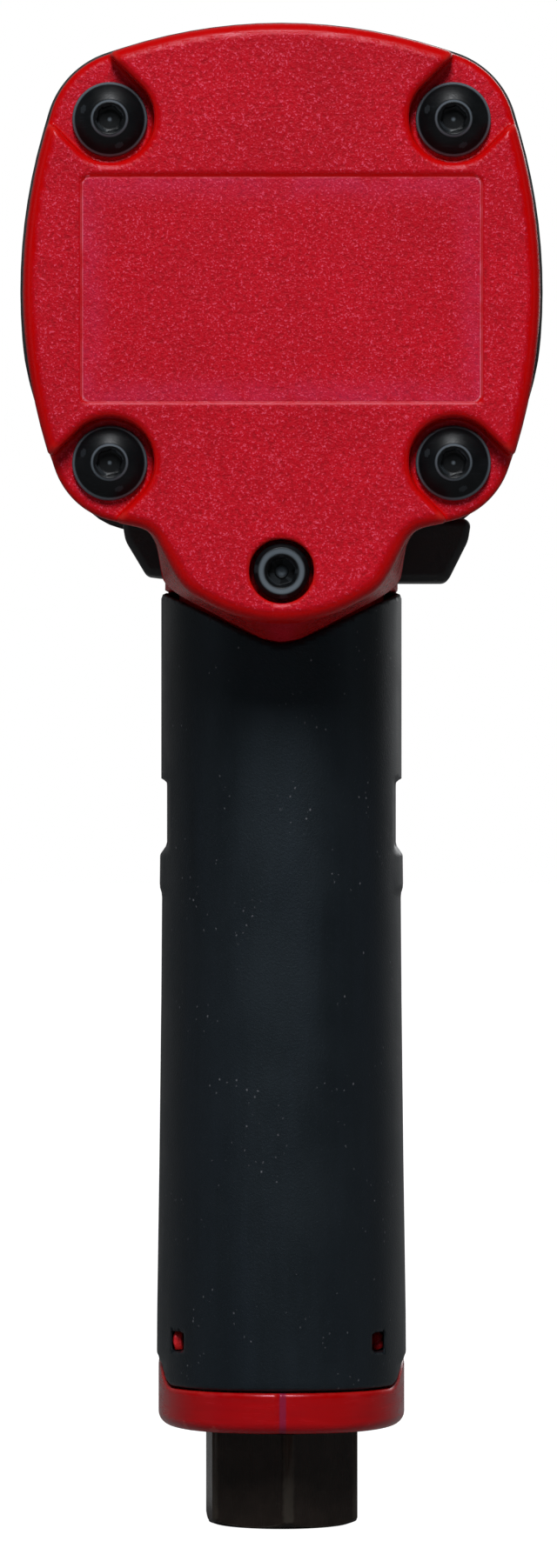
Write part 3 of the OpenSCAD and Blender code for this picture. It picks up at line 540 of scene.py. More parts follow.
def air_passages(x, d, z):
    """What is drilled out of the housing for the air, the trigger and the reverse valve."""
    q = d - HANDLE_DEPTH
    exhaust_x, exhaust_behind, exhaust_radius = 6.5, 11.5, 2.8
    cuts = both(rod(np.abs(x) - exhaust_x, q + exhaust_behind, exhaust_radius), between(z, -140, -20))
    for radius, bottom, top in HANDLE_BORES:
        cuts = either(cuts, both(rod(x, q, radius), between(z, bottom, top)))
    stem_slot, slot_back, slot_bottom, slot_top = 2.6, 31, -80, -50
    slot_sides = both(between(d, slot_back, HANDLE_DEPTH), between(z, slot_bottom, slot_top))
    cuts = either(cuts, both(np.abs(x) - stem_slot, slot_sides))
    pocket_back, guide_radius, guide_front = 46.5, 3.65, 48
    cuts = either(cuts, both(panel(x, z - TRIGGER_Z, 7.3, 9.8, 1), pocket_back - d))
    cuts = either(cuts, both(rod(x, z - TRIGGER_Z, guide_radius), between(d, HANDLE_DEPTH, guide_front)))
    spool_radius, spool_reach = 4.65, 17.1
    cuts = either(cuts, both(rod(d - REVERSE_DEPTH, z - REVERSE_Z, spool_radius), np.abs(x) - spool_reach))
    bay_bottom, bay_top, bay_half_depth, inner_bay, outer_bay = -36.1, -26.9, 5.9, 9.4, 15.2
    inner = both(np.abs(d - REVERSE_DEPTH) - bay_half_depth, inner_bay - np.abs(x))
    outer = both(REVERSE_DEPTH - bay_half_depth - d, outer_bay - np.abs(x))
    cuts = either(cuts, both(between(z, bay_bottom, bay_top), either(inner, outer), 0.5))
    detent_radius, detent_back = 1.65, 31.3
    return either(cuts, both(rod(x, z - REVERSE_Z, detent_radius), between(d, detent_back, REVERSE_DEPTH)))


def tuck(d, z):
    """How far the lower half of the barrel draws in, more and more towards the nose."""
    at_cover, slant, length = 1.3, 0.045, 40
    return smooth_step(-z, 6, 24) * (at_cover + slant * np.clip(d - COVER_DEPTH, 0, length))


def core_flare(z):
    """How much wider the handle's core gets towards the foot."""
    widest, starts, height = 0.4, -110, 26.5
    return widest * np.clip((starts - z) / height, 0, 1)


def at_windows(x, z, half_width, half_height, radius):
    """A rectangle at each of the two small windows low in the back of the rubber."""
    left, right, middle = -13.3, 12.4, -133.9
    nearest = np.minimum(np.abs(x - left), np.abs(x - right))
    return panel(nearest, z - middle, half_width, half_height, radius)


def housing_field(x, d, z):
    """The motor housing: a barrel with a lobe behind, and the core of the handle below."""
    q = d - HANDLE_DEPTH
    outline = LOBED_FRONT(x, z) - 0.1 + LOBE_DRAW_IN * lower_corner(x, z)
    lobe = both(outline, between(d, COVER_DEPTH + 1, COVER_DEPTH + 7), 0.5)
    barrel = both(PLAIN_HEAD(x, z) - 0.3 + tuck(d, z), between(d, COVER_DEPTH + 1, HOUSING_FRONT), 0.45)
    core_bottom, core_half_width, core_half_depth = -136.5, 13.4, 18.8
    core = oval(x, q, core_half_width + core_flare(z), core_half_depth)
    core = both(core, between(z, core_bottom, -30), 0.4)
    neck_bottom, neck_half_width, neck_half_depth = -69.6, 15.2, 20.6
    neck = both(oval(x, q, neck_half_width, neck_half_depth), between(z, neck_bottom, -24), 0.5)
    block_back, block_top, shelf, step_top = 47.4, -36.4, -37, -32.8
    front = both(block_back - d, z - block_top)
    upper = both(shelf - z, either(d - HOUSING_FRONT, z - step_top))
    neck = both(neck, either(front, upper), 0.15)
    lugs = at_windows(x, z, 0.7, 1.2, 0.2)
    core = either(core, both(lugs, between(q, -12.8, -3), 0.2))
    body = either(either(lobe, barrel, 1), either(core, neck, 0.3), 1.2)
    motor_end, shaft_bore, insert_bore, insert_end = 42.05, 14.7, 3.15, 23.2
    body = without(body, both(rod(x, z, LINER_RADIUS + 0.05), d - motor_end), 0.3)
    body = without(body, rod(x, z, shaft_bore), 0.3)
    body = without(body, screw_bores(x, z, SCREW_BORE), 0.2)
    body = without(body, both(rod(x, z - LOWER_SCREW_Z, insert_bore), d - insert_end), 0.2)
    return without(body, air_passages(x, d, z), 0.35)


def rear_gasket_field(x, d, z):
    """The gasket between cover and housing: a little proud of the head, a little short of the lobe."""
    lobed = LOBED_FRONT(x, z) + 0.3 + LOBE_DRAW_IN * lower_corner(x, z)
    plain = PLAIN_HEAD(x, z - 0.7) - 0.9 + tuck(COVER_DEPTH, z)
    sheet = both(either(lobed, plain), between(d, COVER_DEPTH + 0.01, COVER_DEPTH + 0.99), 0.25)
    sheet = without(sheet, screw_bores(x, z, SCREW_BORE + 0.15))
    sheet = without(sheet, rod(x, z - LOWER_SCREW_Z, LOWER_BORE + 0.1))
    return without(sheet, rod(x, z, LINER_RADIUS + 0.3))


CASE_SHOULDER = 74.8
CASE_RADIUS = 29.4
CASE_PROFILE = Outline(rounded_corners([
    (-5, CASE_BACK + 0.6, 0.1), (-5, CASE_FRONT, 0.1), (17, CASE_FRONT, 1.2),
    (17.6, CASE_FRONT - 5, 3), (CASE_RADIUS, CASE_SHOULDER, 9), (CASE_RADIUS, CASE_BACK + 0.6, 0.1)]))


def case_field(x, d, z):
    """The hammer case: a square flange and screw bosses that run into a round, tapering nose."""
    from_axis = np.hypot(x, z)
    bell = CASE_PROFILE(from_axis, d)
    drawn_in = tuck(CASE_BACK, z) + 1.2 * lower_corner(x, z)
    flange = both(PLAIN_HEAD(x, z) + 0.2 + drawn_in, between(d, CASE_BACK, CASE_BACK + 4), 0.7)
    boss_radius, boss_length, boss_draw_in = 5.4, 13, 1.3
    bosses = screw_bores(x, z, boss_radius) + boss_draw_in * lower_corner(x, z)
    bosses = both(bosses, between(d, CASE_BACK, CASE_BACK + boss_length), 1)
    body = either(either(bell, flange, 1.6), bosses, 1.2)
    chamber_radius, chamber_end, nose_bore = 24.5, 74.2, 12.53
    chamber = both(from_axis - chamber_radius, d - chamber_end, 0.6)
    body = without(body, chamber, 0.3)
    body = without(body, from_axis - nose_bore, 0.5)
    thread_radius, thread_end = 2.5, 60.9
    return without(body, both(screw_bores(x, z, thread_radius), d - thread_end))


# ---- Grip and foot ----


def foot_edge(x, q):
    """Height of the joint between the rubber and the foot ring, lower in front and behind."""
    round_share = np.sqrt(handle_share(x, q))
    return RUBBER_END - 3 * smooth_step(round_share, 0.1, 0.5)


# How far the rubber stands out at its sides, against its height
SIDE_HEIGHTS = (-137.5, -136.6, -136, -131, -111, -90, -76.4, -75.4, -71.2, -69.9, -61.7, -61.3, -37)
SIDE_RELIEF = (0.3, 0.62, 0.68, 0.65, 0.35, 0.1, 0, 0.3, 0.25, -0.65, -0.65, 0.1, 0.1)


def sleeve_field(grip):
    """The rubber grip: a sleeve with side reliefs, cut away in front for the trigger."""
    half_width, half_depth, edge = grip.half_width / MM, grip.half_depth / MM, grip.edge / MM
    inner_half_width, inner_half_depth = 13.5, 18.9
    opening_back, opening_bottom = 47, -70

    def field(x, d, z):
        q = d - HANDLE_DEPTH
        at_side = smooth_step(q, -11.5, -6)
        relief = np.interp(z, SIDE_HEIGHTS, SIDE_RELIEF)
        plain = np.interp(z, (-137, -131, -90, -37), (0.6, 0.6, 0.1, 0.1))
        outside = oval(x, q, half_width + plain, half_depth)
        outside = outside - (relief - plain) * at_side
        # Behind, the top edge dips in a soft V under the lobe
        dip = np.hypot(0.51 * x, 1.1) - 45.1
        top = z - np.where(q < -4, np.minimum(dip, RUBBER_TOP), RUBBER_TOP)
        bottom = foot_edge(x, q) + 0.1 - z
        body = both(outside, both(0.9 * top, 0.9 * bottom), edge)
        inside = oval(x, q, inner_half_width + core_flare(z), inner_half_depth)
        body = without(body, inside, 0.3)
        body = without(body, both(opening_back - d, opening_bottom - z, 2), edge)
        window = at_windows(x, z, 0.75, 1.3, 0.3)
        return without(body, both(window, q), 0.2)

    return field


def foot_field(x, d, z):
    """The glossy ring round the foot, with its seam, floor, inlet hole and exhaust holes."""
    q = d - HANDLE_DEPTH
    seam_x, seam_width = -0.3, 0.22
    seam = 0.22 * np.exp(-((x - seam_x) / seam_width) ** 2) * (q < 0)
    step = 0.12 * smooth_step(x, -0.3, -0.1) * (1 - smooth_step(x, 0.5, 0.8)) * (q < 0)
    shell = oval(x, q, 16.05, HANDLE_HALF_DEPTH) + seam + step
    top = z - foot_edge(x, q) + 0.1
    body = both(both(shell, 0.9 * top, 0.45), FOOT_Z - z, 1.5)
    floor_top, inlet_hole = -142.6, 11.3
    hollow = both(oval(x, q, 14.3, 19.3), floor_top - z)
    body = without(body, hollow, 0.3)
    body = without(body, rod(x, q, inlet_hole), 0.4)
    hole_x, hole_radius, hole_pitch = 12.4, 1, 5
    along = np.abs((q + 8) % hole_pitch - hole_pitch / 2) - hole_pitch / 2
    exhaust = both(rod(np.abs(x) - hole_x, along, hole_radius), between(q, -10.5, 9.5))
    return without(body, both(exhaust, z + 140), 0.25)


# ---- Trigger, reverse bar and drive ----


def trigger_field(x, d, z):
    """The trigger: a finger pad, hollowed for one finger and crowned across, on a sliding block."""
    middle, half_height, half_width, pad_back = -56.25, 10.75, 8.2, 65.3
    height = (z - middle) / half_height
    reach = 67.7 + 3.2 * height**2 + 0.8 * height - 0.5 * (x / half_width) ** 2
    pad = both(both(np.abs(x) - half_width, np.abs(z - middle) - half_height, 2.2), pad_back - d, 0.6)
    pad = both(pad, d - reach, 1.1)
    block_back, block_front = 52, 66
    block = both(panel(x, z - TRIGGER_Z, 7, 9.5, 0.9), between(d, block_back, block_front), 0.3)
    body = either(pad, block, 0.4)
    stem_bore, stem_end, pin_bore, pin_depth = 2.03, 59, 1.03, 56
    body = without(body, both(rod(x, z - TRIGGER_Z, stem_bore), d - stem_end))
    return without(body, rod(d - pin_depth, z - TRIGGER_Z, pin_bore))


BUTTON_HALF_DEPTH = 5.5


def button_field(side):
    """One end of the reverse bar, which flares up under the head and is mirrored for the other."""
    shift = (node_span("reverse_spool", 0)[1] + node_span("reverse_spool", 0)[0]) / 2 * side
    inner, top, bottom = 12.6 + shift, -27.3, -35.6
    outer_bottom = bottom if side > 0 else -34.7
    shape = Outline(rounded_corners([
        (inner, top, 0.3), (22.85 + shift, top, 1), (22.4 + shift, -30.2, 4),
        (19.7 + shift, outer_bottom, 1.2), (inner, bottom, 0.3)], 8))

    def field(x, d, z):
        body = both(shape(x * side, z), np.abs(d - REVERSE_DEPTH) - BUTTON_HALF_DEPTH, 1)
        bore = both(rod(d - REVERSE_DEPTH, z - REVERSE_Z, 3.42), x * side - 16.6 - shift)
        return without(body, bore)

    return field


DRIVE_HALF = 6.35
JAW_SLOPE = 9 / 13
GROOVE = (DRIVE_TIP - 4, DRIVE_TIP - 2)
HAMMER_BACKS = [node_span(node, 1)[0] - REAR_Y for node in ("rear_hammer", "front_hammer")]


def anvil_field(x, d, z):
    """The anvil: two jaws, a shank in the bushing and the square drive with its ring groove."""
    from_axis = np.hypot(x, z)
    shank = both(from_axis - 8, between(d, HAMMER_BACKS[0] - 0.2, 73.4), 0.3)
    journal = both(from_axis - 9.49, between(d, 70.1, SHOULDER_DEPTH), 0.5)
    body = either(shank, journal)
    for back, side in zip(HAMMER_BACKS, (1, -1)):
        wedge = (np.abs(x) - side * z * JAW_SLOPE) / math.hypot(1, JAW_SLOPE)
        jaw = both(both(wedge, from_axis - 10.6, 0.3), between(d, back + 0.2, back + 6.8), 0.3)
        body = either(body, jaw)
    square = both(panel(x, z, DRIVE_HALF, DRIVE_HALF, 0.9), from_axis - 8.4, 0.2)
    square = both(square, between(d, SHOULDER_DEPTH - 3, DRIVE_TIP), 0.8)
    body = either(body, square, 0.5)
    body = without(body, both(6.1 - from_axis, between(d, *GROOVE)), 0.2)
    return without(body, both(from_axis - 1.2, DRIVE_TIP - 1 - d), 0.3)


def socket_ring_field(x, d, z):
    """The split spring ring in the groove of the square drive."""
    loop = both(between(np.hypot(x, z), 6.95, 7.9), between(d, GROOVE[0] + 0.06, GROOVE[1] - 0.06), 0.3)
    return without(loop, both(np.abs(x) - 1, -z), 0.2)


# ---- Turned fittings ----

SCREW_SEAT = 3.59
SCREW_TIP = node_span("case_screws", 1)[1] - REAR_Y


def button_head_profile():
    """A domed screw with a hexagon socket, from the bottom of the socket to the tip of the shank."""
    dome, crown = 6.88, 0.86
    edge = [(2.46, 0.02, 0, 0), (2.4, 1.3, 0.1, 0), (2.3, 1.5, 0.05, 6), (1.3, 1.5, 0.05, 6),
            (0.98, 2.02, 0.1, 0)]
    for r in np.linspace(2.4, SCREW_HEAD - 0.1, 8):
        edge.append((crown + dome - math.sqrt(dome**2 - r**2), r, 0, 0))
    edge += [(2.95, SCREW_HEAD, 0.12, 0), (SCREW_SEAT, SCREW_HEAD - 0.05, 0.2, 0),
             (SCREW_SEAT, 2.5, 0.1, 0), (SCREW_TIP - 0.6, 2.45, 0.1, 0), (SCREW_TIP, 1.9, 0, 0),
             (SCREW_TIP, 0.02, 0, 0)]
    return softened(edge)


def cap_head_profile():
    """The lower screw: a chamfered cap head with a flat face and a deep socket."""
    tip = node_span("lower_screw", 1)[1] - REAR_Y
    crown = 0.4
    return softened([
        (3.1, 0.02, 0, 0), (2.35, 0.75, 0.1, 0), (2.6, 0.85, 0.05, 0), (2.6, 1.6, 0.1, 6),
        (1.0, 1.6, 0.05, 6), (crown + 0.08, 2.12, 0.06, 0), (crown, 2.95, 0.08, 0),
        (crown + 0.5, 3.5, 0.15, 0), (4.39, 3.5, 0.1, 0), (4.39, 2, 0.1, 0), (tip, 1.95, 0.2, 0),
        (tip, 0.02, 0, 0)])


def refined(profile):
    """A screw's profile with its long steps cut up, as far as the seat of the head."""
    longest_step = 0.16
    out = [profile[0]]
    for before, after in zip(profile, profile[1:]):
        length = math.hypot(after[0] - before[0], after[1] - before[1])
        head = max(before[0], after[0]) <= SCREW_SEAT
        count = max(1, math.ceil(length / longest_step)) if head else 1
        for k in range(1, count + 1):
            along, radius = (np.array(before[:2]) * (count - k) + np.array(after[:2]) * k) / count
            out.append((along, radius, after[2]))
    return out


def make_screws(name, profile, places, highlight_rings):
    """Screws of one profile at several places, with bright rings of painted highlight at the given radii and
    widths.
    """
    sides, socket_turn = 72, math.radians(15)
    points, faces = [], []
    rings = turned_rings(refined(profile), sides, socket_turn)
    for x, z in places:
        faces += capped_faces(len(rings), sides, start=sum(map(len, points)))
        points.append(along_spindle(rings, x, z))
    made = object_from(name, np.concatenate(points), faces)
    radius = np.hypot(rings[..., 0], rings[..., 1]).ravel()
    # Painted highlight: bright rings and a centre dot on each head, where its edges and faces would catch
    # the light
    shine = sum(np.exp(-(((radius - at) / width) ** 4)) for at, width in highlight_rings)
    shine = shine * (rings[..., 2].ravel() < SCREW_SEAT)
    mask = made.data.attributes.new("painted_highlight", "FLOAT", "POINT")
    mask.data.foreach_set("value", np.tile(shine, len(places)).astype(np.float32))
    return made


INLET_HALF = 9.5
INLET_TURN = math.radians(245)
THREAD_LENGTH = 12
THREAD_RADIUS = 5.72
THREAD_PITCH = 1.337


def make_inlet():
    """The air inlet: a hexagon with turned ends, its bore threaded, and a plain body above."""
    top = node_span("inlet_bushing", 2)[1]
    shoulder = FOOT_Z - 0.05
    sides = 120
    angle = 2 * math.pi * np.arange(sides) / sides
    corner = 10.92
    body, bore, mouth = 8.9, 4.5, 7.6
    ring_bottom, ring_top, ring_radius = -130, -127.6, 7.6

    def level(z, radius, limit=None):
        flats = 6 if limit else 0
        r = flat_sided(angle, radius, flats, limit or radius)
        turned = angle + INLET_TURN
        return np.stack([r * np.cos(turned), r * np.sin(turned), np.full(sides, float(z))], 1)

    def chamfered(z, share):
        return level(z, INLET_HALF, INLET_HALF + (corner - INLET_HALF) * share**0.7)

    outside = [level(INLET_Z, mouth), level(INLET_Z, 8.9), level(INLET_Z + 0.12, 9.25)]
    for k in range(7):
        share = k / 6
        outside.append(chamfered(INLET_Z + 0.2 + 0.9 * share, share))
    for k in range(7):
        share = 1 - k / 6
        outside.append(chamfered(shoulder - 0.15 - 0.8 * share, share))
    outside += [level(shoulder, INLET_HALF - 0.1), level(shoulder, body)]
    outside += [level(ring_bottom, body), level(ring_bottom, ring_radius)]
    outside += [level(ring_top, ring_radius), level(ring_top, body)]
    outside += [level(top - 0.4, body), level(top, body - 0.4)]
    outside += [level(top, bore + 0.1), level(top - 0.1, bore)]
    thread_end = INLET_Z + THREAD_LENGTH
    inside = [level(thread_end + 0.05, bore), level(thread_end, THREAD_RADIUS)]
    steps = int(THREAD_LENGTH / THREAD_PITCH * 10)
    for k in range(steps + 1):
        z = thread_end - 0.1 - (THREAD_LENGTH - 1) * k / steps
        phase = (z / THREAD_PITCH - angle / (2 * math.pi)) % 1
        fade = min(1, (k + 1) / 8) * min(1, (steps - k + 1) / 8)
        groove = 0.55 * fade * (1 - np.abs(2 * phase - 1))
        ring = level(z, THREAD_RADIUS)
        ring[:, :2] *= ((THREAD_RADIUS + groove) / THREAD_RADIUS)[:, None]
        inside.append(ring)
    inside += [level(INLET_Z + 0.7, THREAD_RADIUS + 0.25), level(INLET_Z, 6.7)]
    rings = np.array(outside + inside)
    faces = ring_faces(len(rings), sides, closed=True)
    return object_from("inlet_body", along_handle(rings), faces)


# ---- Shader helpers ----


def feed(tree, socket, value):
    """Links a socket, or sets it to a plain value."""
    if isinstance(value, bpy.types.NodeSocket):
        tree.links.new(value, socket)
    else:
        socket.default_value = value


def maths(tree, operation, *values):
    """A Math node's result."""
    made = tree.nodes.new("ShaderNodeMath")
    made.operation = operation
    for socket, value in zip(made.inputs, values):
        feed(tree, socket, value)
    return made.outputs[0]


def vectors(tree, operation, *values):
    """A Vector Math node's result."""
    made = tree.nodes.new("ShaderNodeVectorMath")
    made.operation = operation
    for socket, value in zip(made.inputs, values):
        feed(tree, socket, value)
    return made.outputs["Value" if operation in ("LENGTH", "DOT_PRODUCT") else "Vector"]


def noise(tree, place, scale, detail=2.0, roughness=0.5):
    """Noise between 0 and 1."""
    made = tree.nodes.new("ShaderNodeTexNoise")
    feed(tree, made.inputs["Vector"], place)
    feed(tree, made.inputs["Scale"], scale)
    feed(tree, made.inputs["Detail"], detail)
    feed(tree, made.inputs["Roughness"], roughness)
    return made.outputs["Fac"]


def spread(tree, value, low, high, to_low=0.0, to_high=1.0, smooth=False):
    """A value moved from one range to another, and held inside it."""
    made = tree.nodes.new("ShaderNodeMapRange")
    made.interpolation_type = "SMOOTHSTEP" if smooth else "LINEAR"
    for name, number in (("Value", value), ("From Min", low), ("From Max", high),
                         ("To Min", to_low), ("To Max", to_high)):
        feed(tree, made.inputs[name], number)
    return made.outputs["Result"]


def blend(tree, share, first, second):
    """Two colours mixed by a share."""
    made = tree.nodes.new("ShaderNodeMix")
    made.data_type = "RGBA"
    feed(tree, made.inputs["Factor"], share)
    feed(tree, made.inputs[6], first)
    feed(tree, made.inputs[7], second)
    return made.outputs[2]


def laid_over(tree, below, mask, share, colour):
    """A colour laid over the one below, as far as a mask and a share of it let it show."""
    return blend(tree, maths(tree, "MULTIPLY", mask, share), below, colour)


def rgba(colour, gain=1.0):
    """A colour with its alpha, made brighter or darker."""
    return (*[min(1, channel * gain) for channel in colour], 1.0)


def new_group(name, inputs, outputs):
    """An empty node group with named sockets; gives the tree and its two ends."""
    tree = bpy.data.node_groups.new(name, "ShaderNodeTree")
    for label, kind, default in inputs:
        socket = tree.interface.new_socket(label, in_out="INPUT", socket_type=kind)
        socket.default_value = default
    for label, kind in outputs:
        tree.interface.new_socket(label, in_out="OUTPUT", socket_type=kind)
    return tree, tree.nodes.new("NodeGroupInput").outputs, tree.nodes.new("NodeGroupOutput").inputs


def millimetres(tree):
    """Places on the piece itself, in millimetres."""
    place = tree.nodes.new("ShaderNodeTexCoord").outputs["Object"]
    return vectors(tree, "MULTIPLY", place, (1 / MM,) * 3)


# ---- Shared effects ----


def pebble_grain():
    """Leathery mould grain: a height, and bright specks on the tips of the pebbles that are painted glints.
    """
    tree, given, out = new_group(
        "Pebble grain",
        [("Pebbles per mm", "NodeSocketFloat", 1.6), ("Speck size", "NodeSocketFloat", 0.08)],
        [("Height", "NodeSocketFloat"), ("Specks", "NodeSocketFloat")])
    place = millimetres(tree)
    pebbles = noise(tree, place, given["Pebbles per mm"], 2.5, 0.6)
    fine_scale = maths(tree, "MULTIPLY", given["Pebbles per mm"], 2.3)
    fine = noise(tree, vectors(tree, "ADD", place, (17.0, 5.0, 9.0)), fine_scale, 1.0)
    height = maths(tree, "ADD", maths(tree, "MULTIPLY", pebbles, 0.7), maths(tree, "MULTIPLY", fine, 0.3))
    feed(tree, out["Height"], height)
    edge = maths(tree, "SUBTRACT", 0.66, given["Speck size"])
    # Specks: painted glints, pale spots where the tips of the pebbles would catch the light
    specks = spread(tree, maths(tree, "ADD", maths(tree, "MULTIPLY", fine, 0.65),
                                maths(tree, "MULTIPLY", pebbles, 0.35)),
                    edge, maths(tree, "ADD", edge, 0.1), smooth=True)
    feed(tree, out["Specks"], specks)
    return tree


def worn_edges():
    """How worn a place is: high on convex edges, broken up by noise."""
    tree, given, out = new_group(
        "Worn edges",
        [("Reach", "NodeSocketFloat", 0.04), ("Break up per mm", "NodeSocketFloat", 0.8)],
        [("Wear", "NodeSocketFloat")])
    geometry = tree.nodes.new("ShaderNodeNewGeometry")
    ragged = noise(tree, millimetres(tree), given["Break up per mm"], 4.0, 0.65)
    start = maths(tree, "ADD", 0.5, maths(tree, "MULTIPLY", given["Reach"], ragged))
    end = maths(tree, "ADD", start, given["Reach"])
    feed(tree, out["Wear"], spread(tree, geometry.outputs["Pointiness"], start, end, smooth=True))
    return tree


def dust():
    """Sparse pale flecks of dust and fibre, and a broad film that comes and goes."""
    tree, given, out = new_group(
        "Dust",
        [("Flecks per mm", "NodeSocketFloat", 0.5), ("Stretch", "NodeSocketVector", (1.0, 1.0, 0.45))],
        [("Flecks", "NodeSocketFloat"), ("Film", "NodeSocketFloat")])
    place = vectors(tree, "MULTIPLY", millimetres(tree), given["Stretch"])
    cells = tree.nodes.new("ShaderNodeTexVoronoi")
    feed(tree, cells.inputs["Vector"], place)
    feed(tree, cells.inputs["Scale"], given["Flecks per mm"])
    near = spread(tree, cells.outputs["Distance"], 0.08, 0.2, 1.0, 0.0)
    chosen = maths(tree, "GREATER_THAN", noise(tree, place, 0.21, 2.0), 0.56)
    ragged = spread(tree, noise(tree, place, 3.1, 3.0), 0.45, 0.6)
    flecks = maths(tree, "MULTIPLY", maths(tree, "MULTIPLY", near, chosen), ragged)
    feed(tree, out["Flecks"], flecks)
    feed(tree, out["Film"], spread(tree, noise(tree, place, 0.06, 3.0, 0.6), 0.35, 0.7, smooth=True))
    return tree


def tool_marks():
    """Fine turning lines round the spindle, with the small scratches of use across them."""
    tree, given, out = new_group(
        "Tool marks",
        [("Lines per mm", "NodeSocketFloat", 6.0), ("Upright", "NodeSocketFloat", 0.0)],
        [("Lines", "NodeSocketFloat"), ("Scratches", "NodeSocketFloat")])
    place = millimetres(tree)
    parts = tree.nodes.new("ShaderNodeSeparateXYZ")
    feed(tree, parts.inputs[0], place)
    round_spindle = maths(tree, "SQRT", maths(
        tree, "ADD", maths(tree, "POWER", parts.outputs["X"], 2.0),
        maths(tree, "POWER", parts.outputs["Z"], 2.0)))
    turned = tree.nodes.new("ShaderNodeCombineXYZ")
    feed(tree, turned.inputs["X"], round_spindle)
    feed(tree, turned.inputs["Y"], parts.outputs["Y"])
    upright = tree.nodes.new("ShaderNodeCombineXYZ")
    feed(tree, upright.inputs["X"], parts.outputs["X"])
    feed(tree, upright.inputs["Y"], parts.outputs["Y"])
    feed(tree, upright.inputs["Z"], maths(tree, "MULTIPLY", parts.outputs["Z"], 0.04))
    pick = tree.nodes.new("ShaderNodeMix")
    pick.data_type = "VECTOR"
    feed(tree, pick.inputs["Factor"], given["Upright"])
    feed(tree, pick.inputs[4], turned.outputs[0])
    feed(tree, pick.inputs[5], upright.outputs[0])
    feed(tree, out["Lines"], noise(tree, pick.outputs[1], given["Lines per mm"], 3.0, 0.6))
    streaks = vectors(tree, "MULTIPLY", place, (0.25, 0.6, 2.2))
    feed(tree, out["Scratches"], spread(tree, noise(tree, streaks, 1.3, 5.0, 0.7), 0.58, 0.68))
    return tree


def label_line():
    """The thin pale line round the blank label recess, a painted highlight on its edge, and the fading film
    just inside it.
    """
    inset = 0.15
    tree, given, out = new_group(
        "Label line",
        [("Middle", "NodeSocketVector", (0.0, 0.0, LABEL_Z)),
         ("Half size", "NodeSocketVector", (LABEL_HALF_WIDTH - inset, 0.0, LABEL_HALF_HEIGHT - inset)),
         ("Corner", "NodeSocketFloat", LABEL_CORNER), ("Line width", "NodeSocketFloat", 0.26)],
        [("Line", "NodeSocketFloat"), ("Film", "NodeSocketFloat")])
    place = millimetres(tree)
    away = vectors(tree, "ABSOLUTE", vectors(tree, "SUBTRACT", place, given["Middle"]))
    corner = tree.nodes.new("ShaderNodeCombineXYZ")
    feed(tree, corner.inputs["X"], given["Corner"])
    feed(tree, corner.inputs["Z"], given["Corner"])
    over = vectors(tree, "ADD", vectors(tree, "SUBTRACT", away, given["Half size"]), corner.outputs[0])
    flat = vectors(tree, "MULTIPLY", over, (1.0, 0.0, 1.0))
    outside = vectors(tree, "LENGTH", vectors(tree, "MAXIMUM", flat, (0.0, 0.0, 0.0)))
    sides = tree.nodes.new("ShaderNodeSeparateXYZ")
    feed(tree, sides.inputs[0], over)
    inside = maths(tree, "MINIMUM", maths(tree, "MAXIMUM", sides.outputs["X"], sides.outputs["Z"]), 0.0)
    distance = maths(tree, "SUBTRACT", maths(tree, "ADD", outside, inside), given["Corner"])
    # Painted highlight along the edge of the recess, fading out over the line width
    line = spread(tree, maths(tree, "ABSOLUTE", distance), 0.0, given["Line width"], 1.0, 0.0, smooth=True)
    patchy = spread(tree, noise(tree, place, 0.35, 3.0), 0.35, 0.6, 0.35, 1.0)
    feed(tree, out["Line"], maths(tree, "MULTIPLY", line, patchy))
    film = maths(tree, "MULTIPLY", spread(tree, distance, -4.5, 0.0, 0.0, 1.0, smooth=True),
                 maths(tree, "LESS_THAN", distance, 0.0))
    feed(tree, out["Film"], maths(tree, "MULTIPLY", film, patchy))
    return tree


GROUPS = {}


def effect(tree, name, **values):
    """Places a shared effect in a material, with its own values."""
    builders = {"grain": pebble_grain, "wear": worn_edges, "dust": dust, "marks": tool_marks,
                "label": label_line}
    if name not in GROUPS:
        GROUPS[name] = builders[name]()
    made = tree.nodes.new("ShaderNodeGroup")
    made.node_tree = GROUPS[name]
    for label, value in values.items():
        feed(tree, made.inputs[label.replace("_", " ")], value)
    return made.outputs


# ---- Materials ----


def new_material(name, **settings):
    """A material with a Principled shader; uniform values are set on the shader's own sockets."""
    made = bpy.data.materials.new(name)
    made.use_nodes = True
    shader = made.node_tree.nodes["Principled BSDF"]
    for label, value in settings.items():
        shader.inputs[label.replace("_", " ")].default_value = value
    return made, made.node_tree, shader.inputs


def bump(tree, height, distance, strength=1.0):
    """A normal from a height, over a distance in millimetres."""
    made = tree.nodes.new("ShaderNodeBump")
    made.inputs["Distance"].default_value = distance * MM
    made.inputs["Strength"].default_value = strength
    feed(tree, made.inputs["Height"], height)
    return made.outputs["Normal"]


def attribute(tree, name):
    """A mask that the mesh holds at its points."""
    made = tree.nodes.new("ShaderNodeAttribute")
    made.attribute_name = name
    return made.outputs["Fac"]


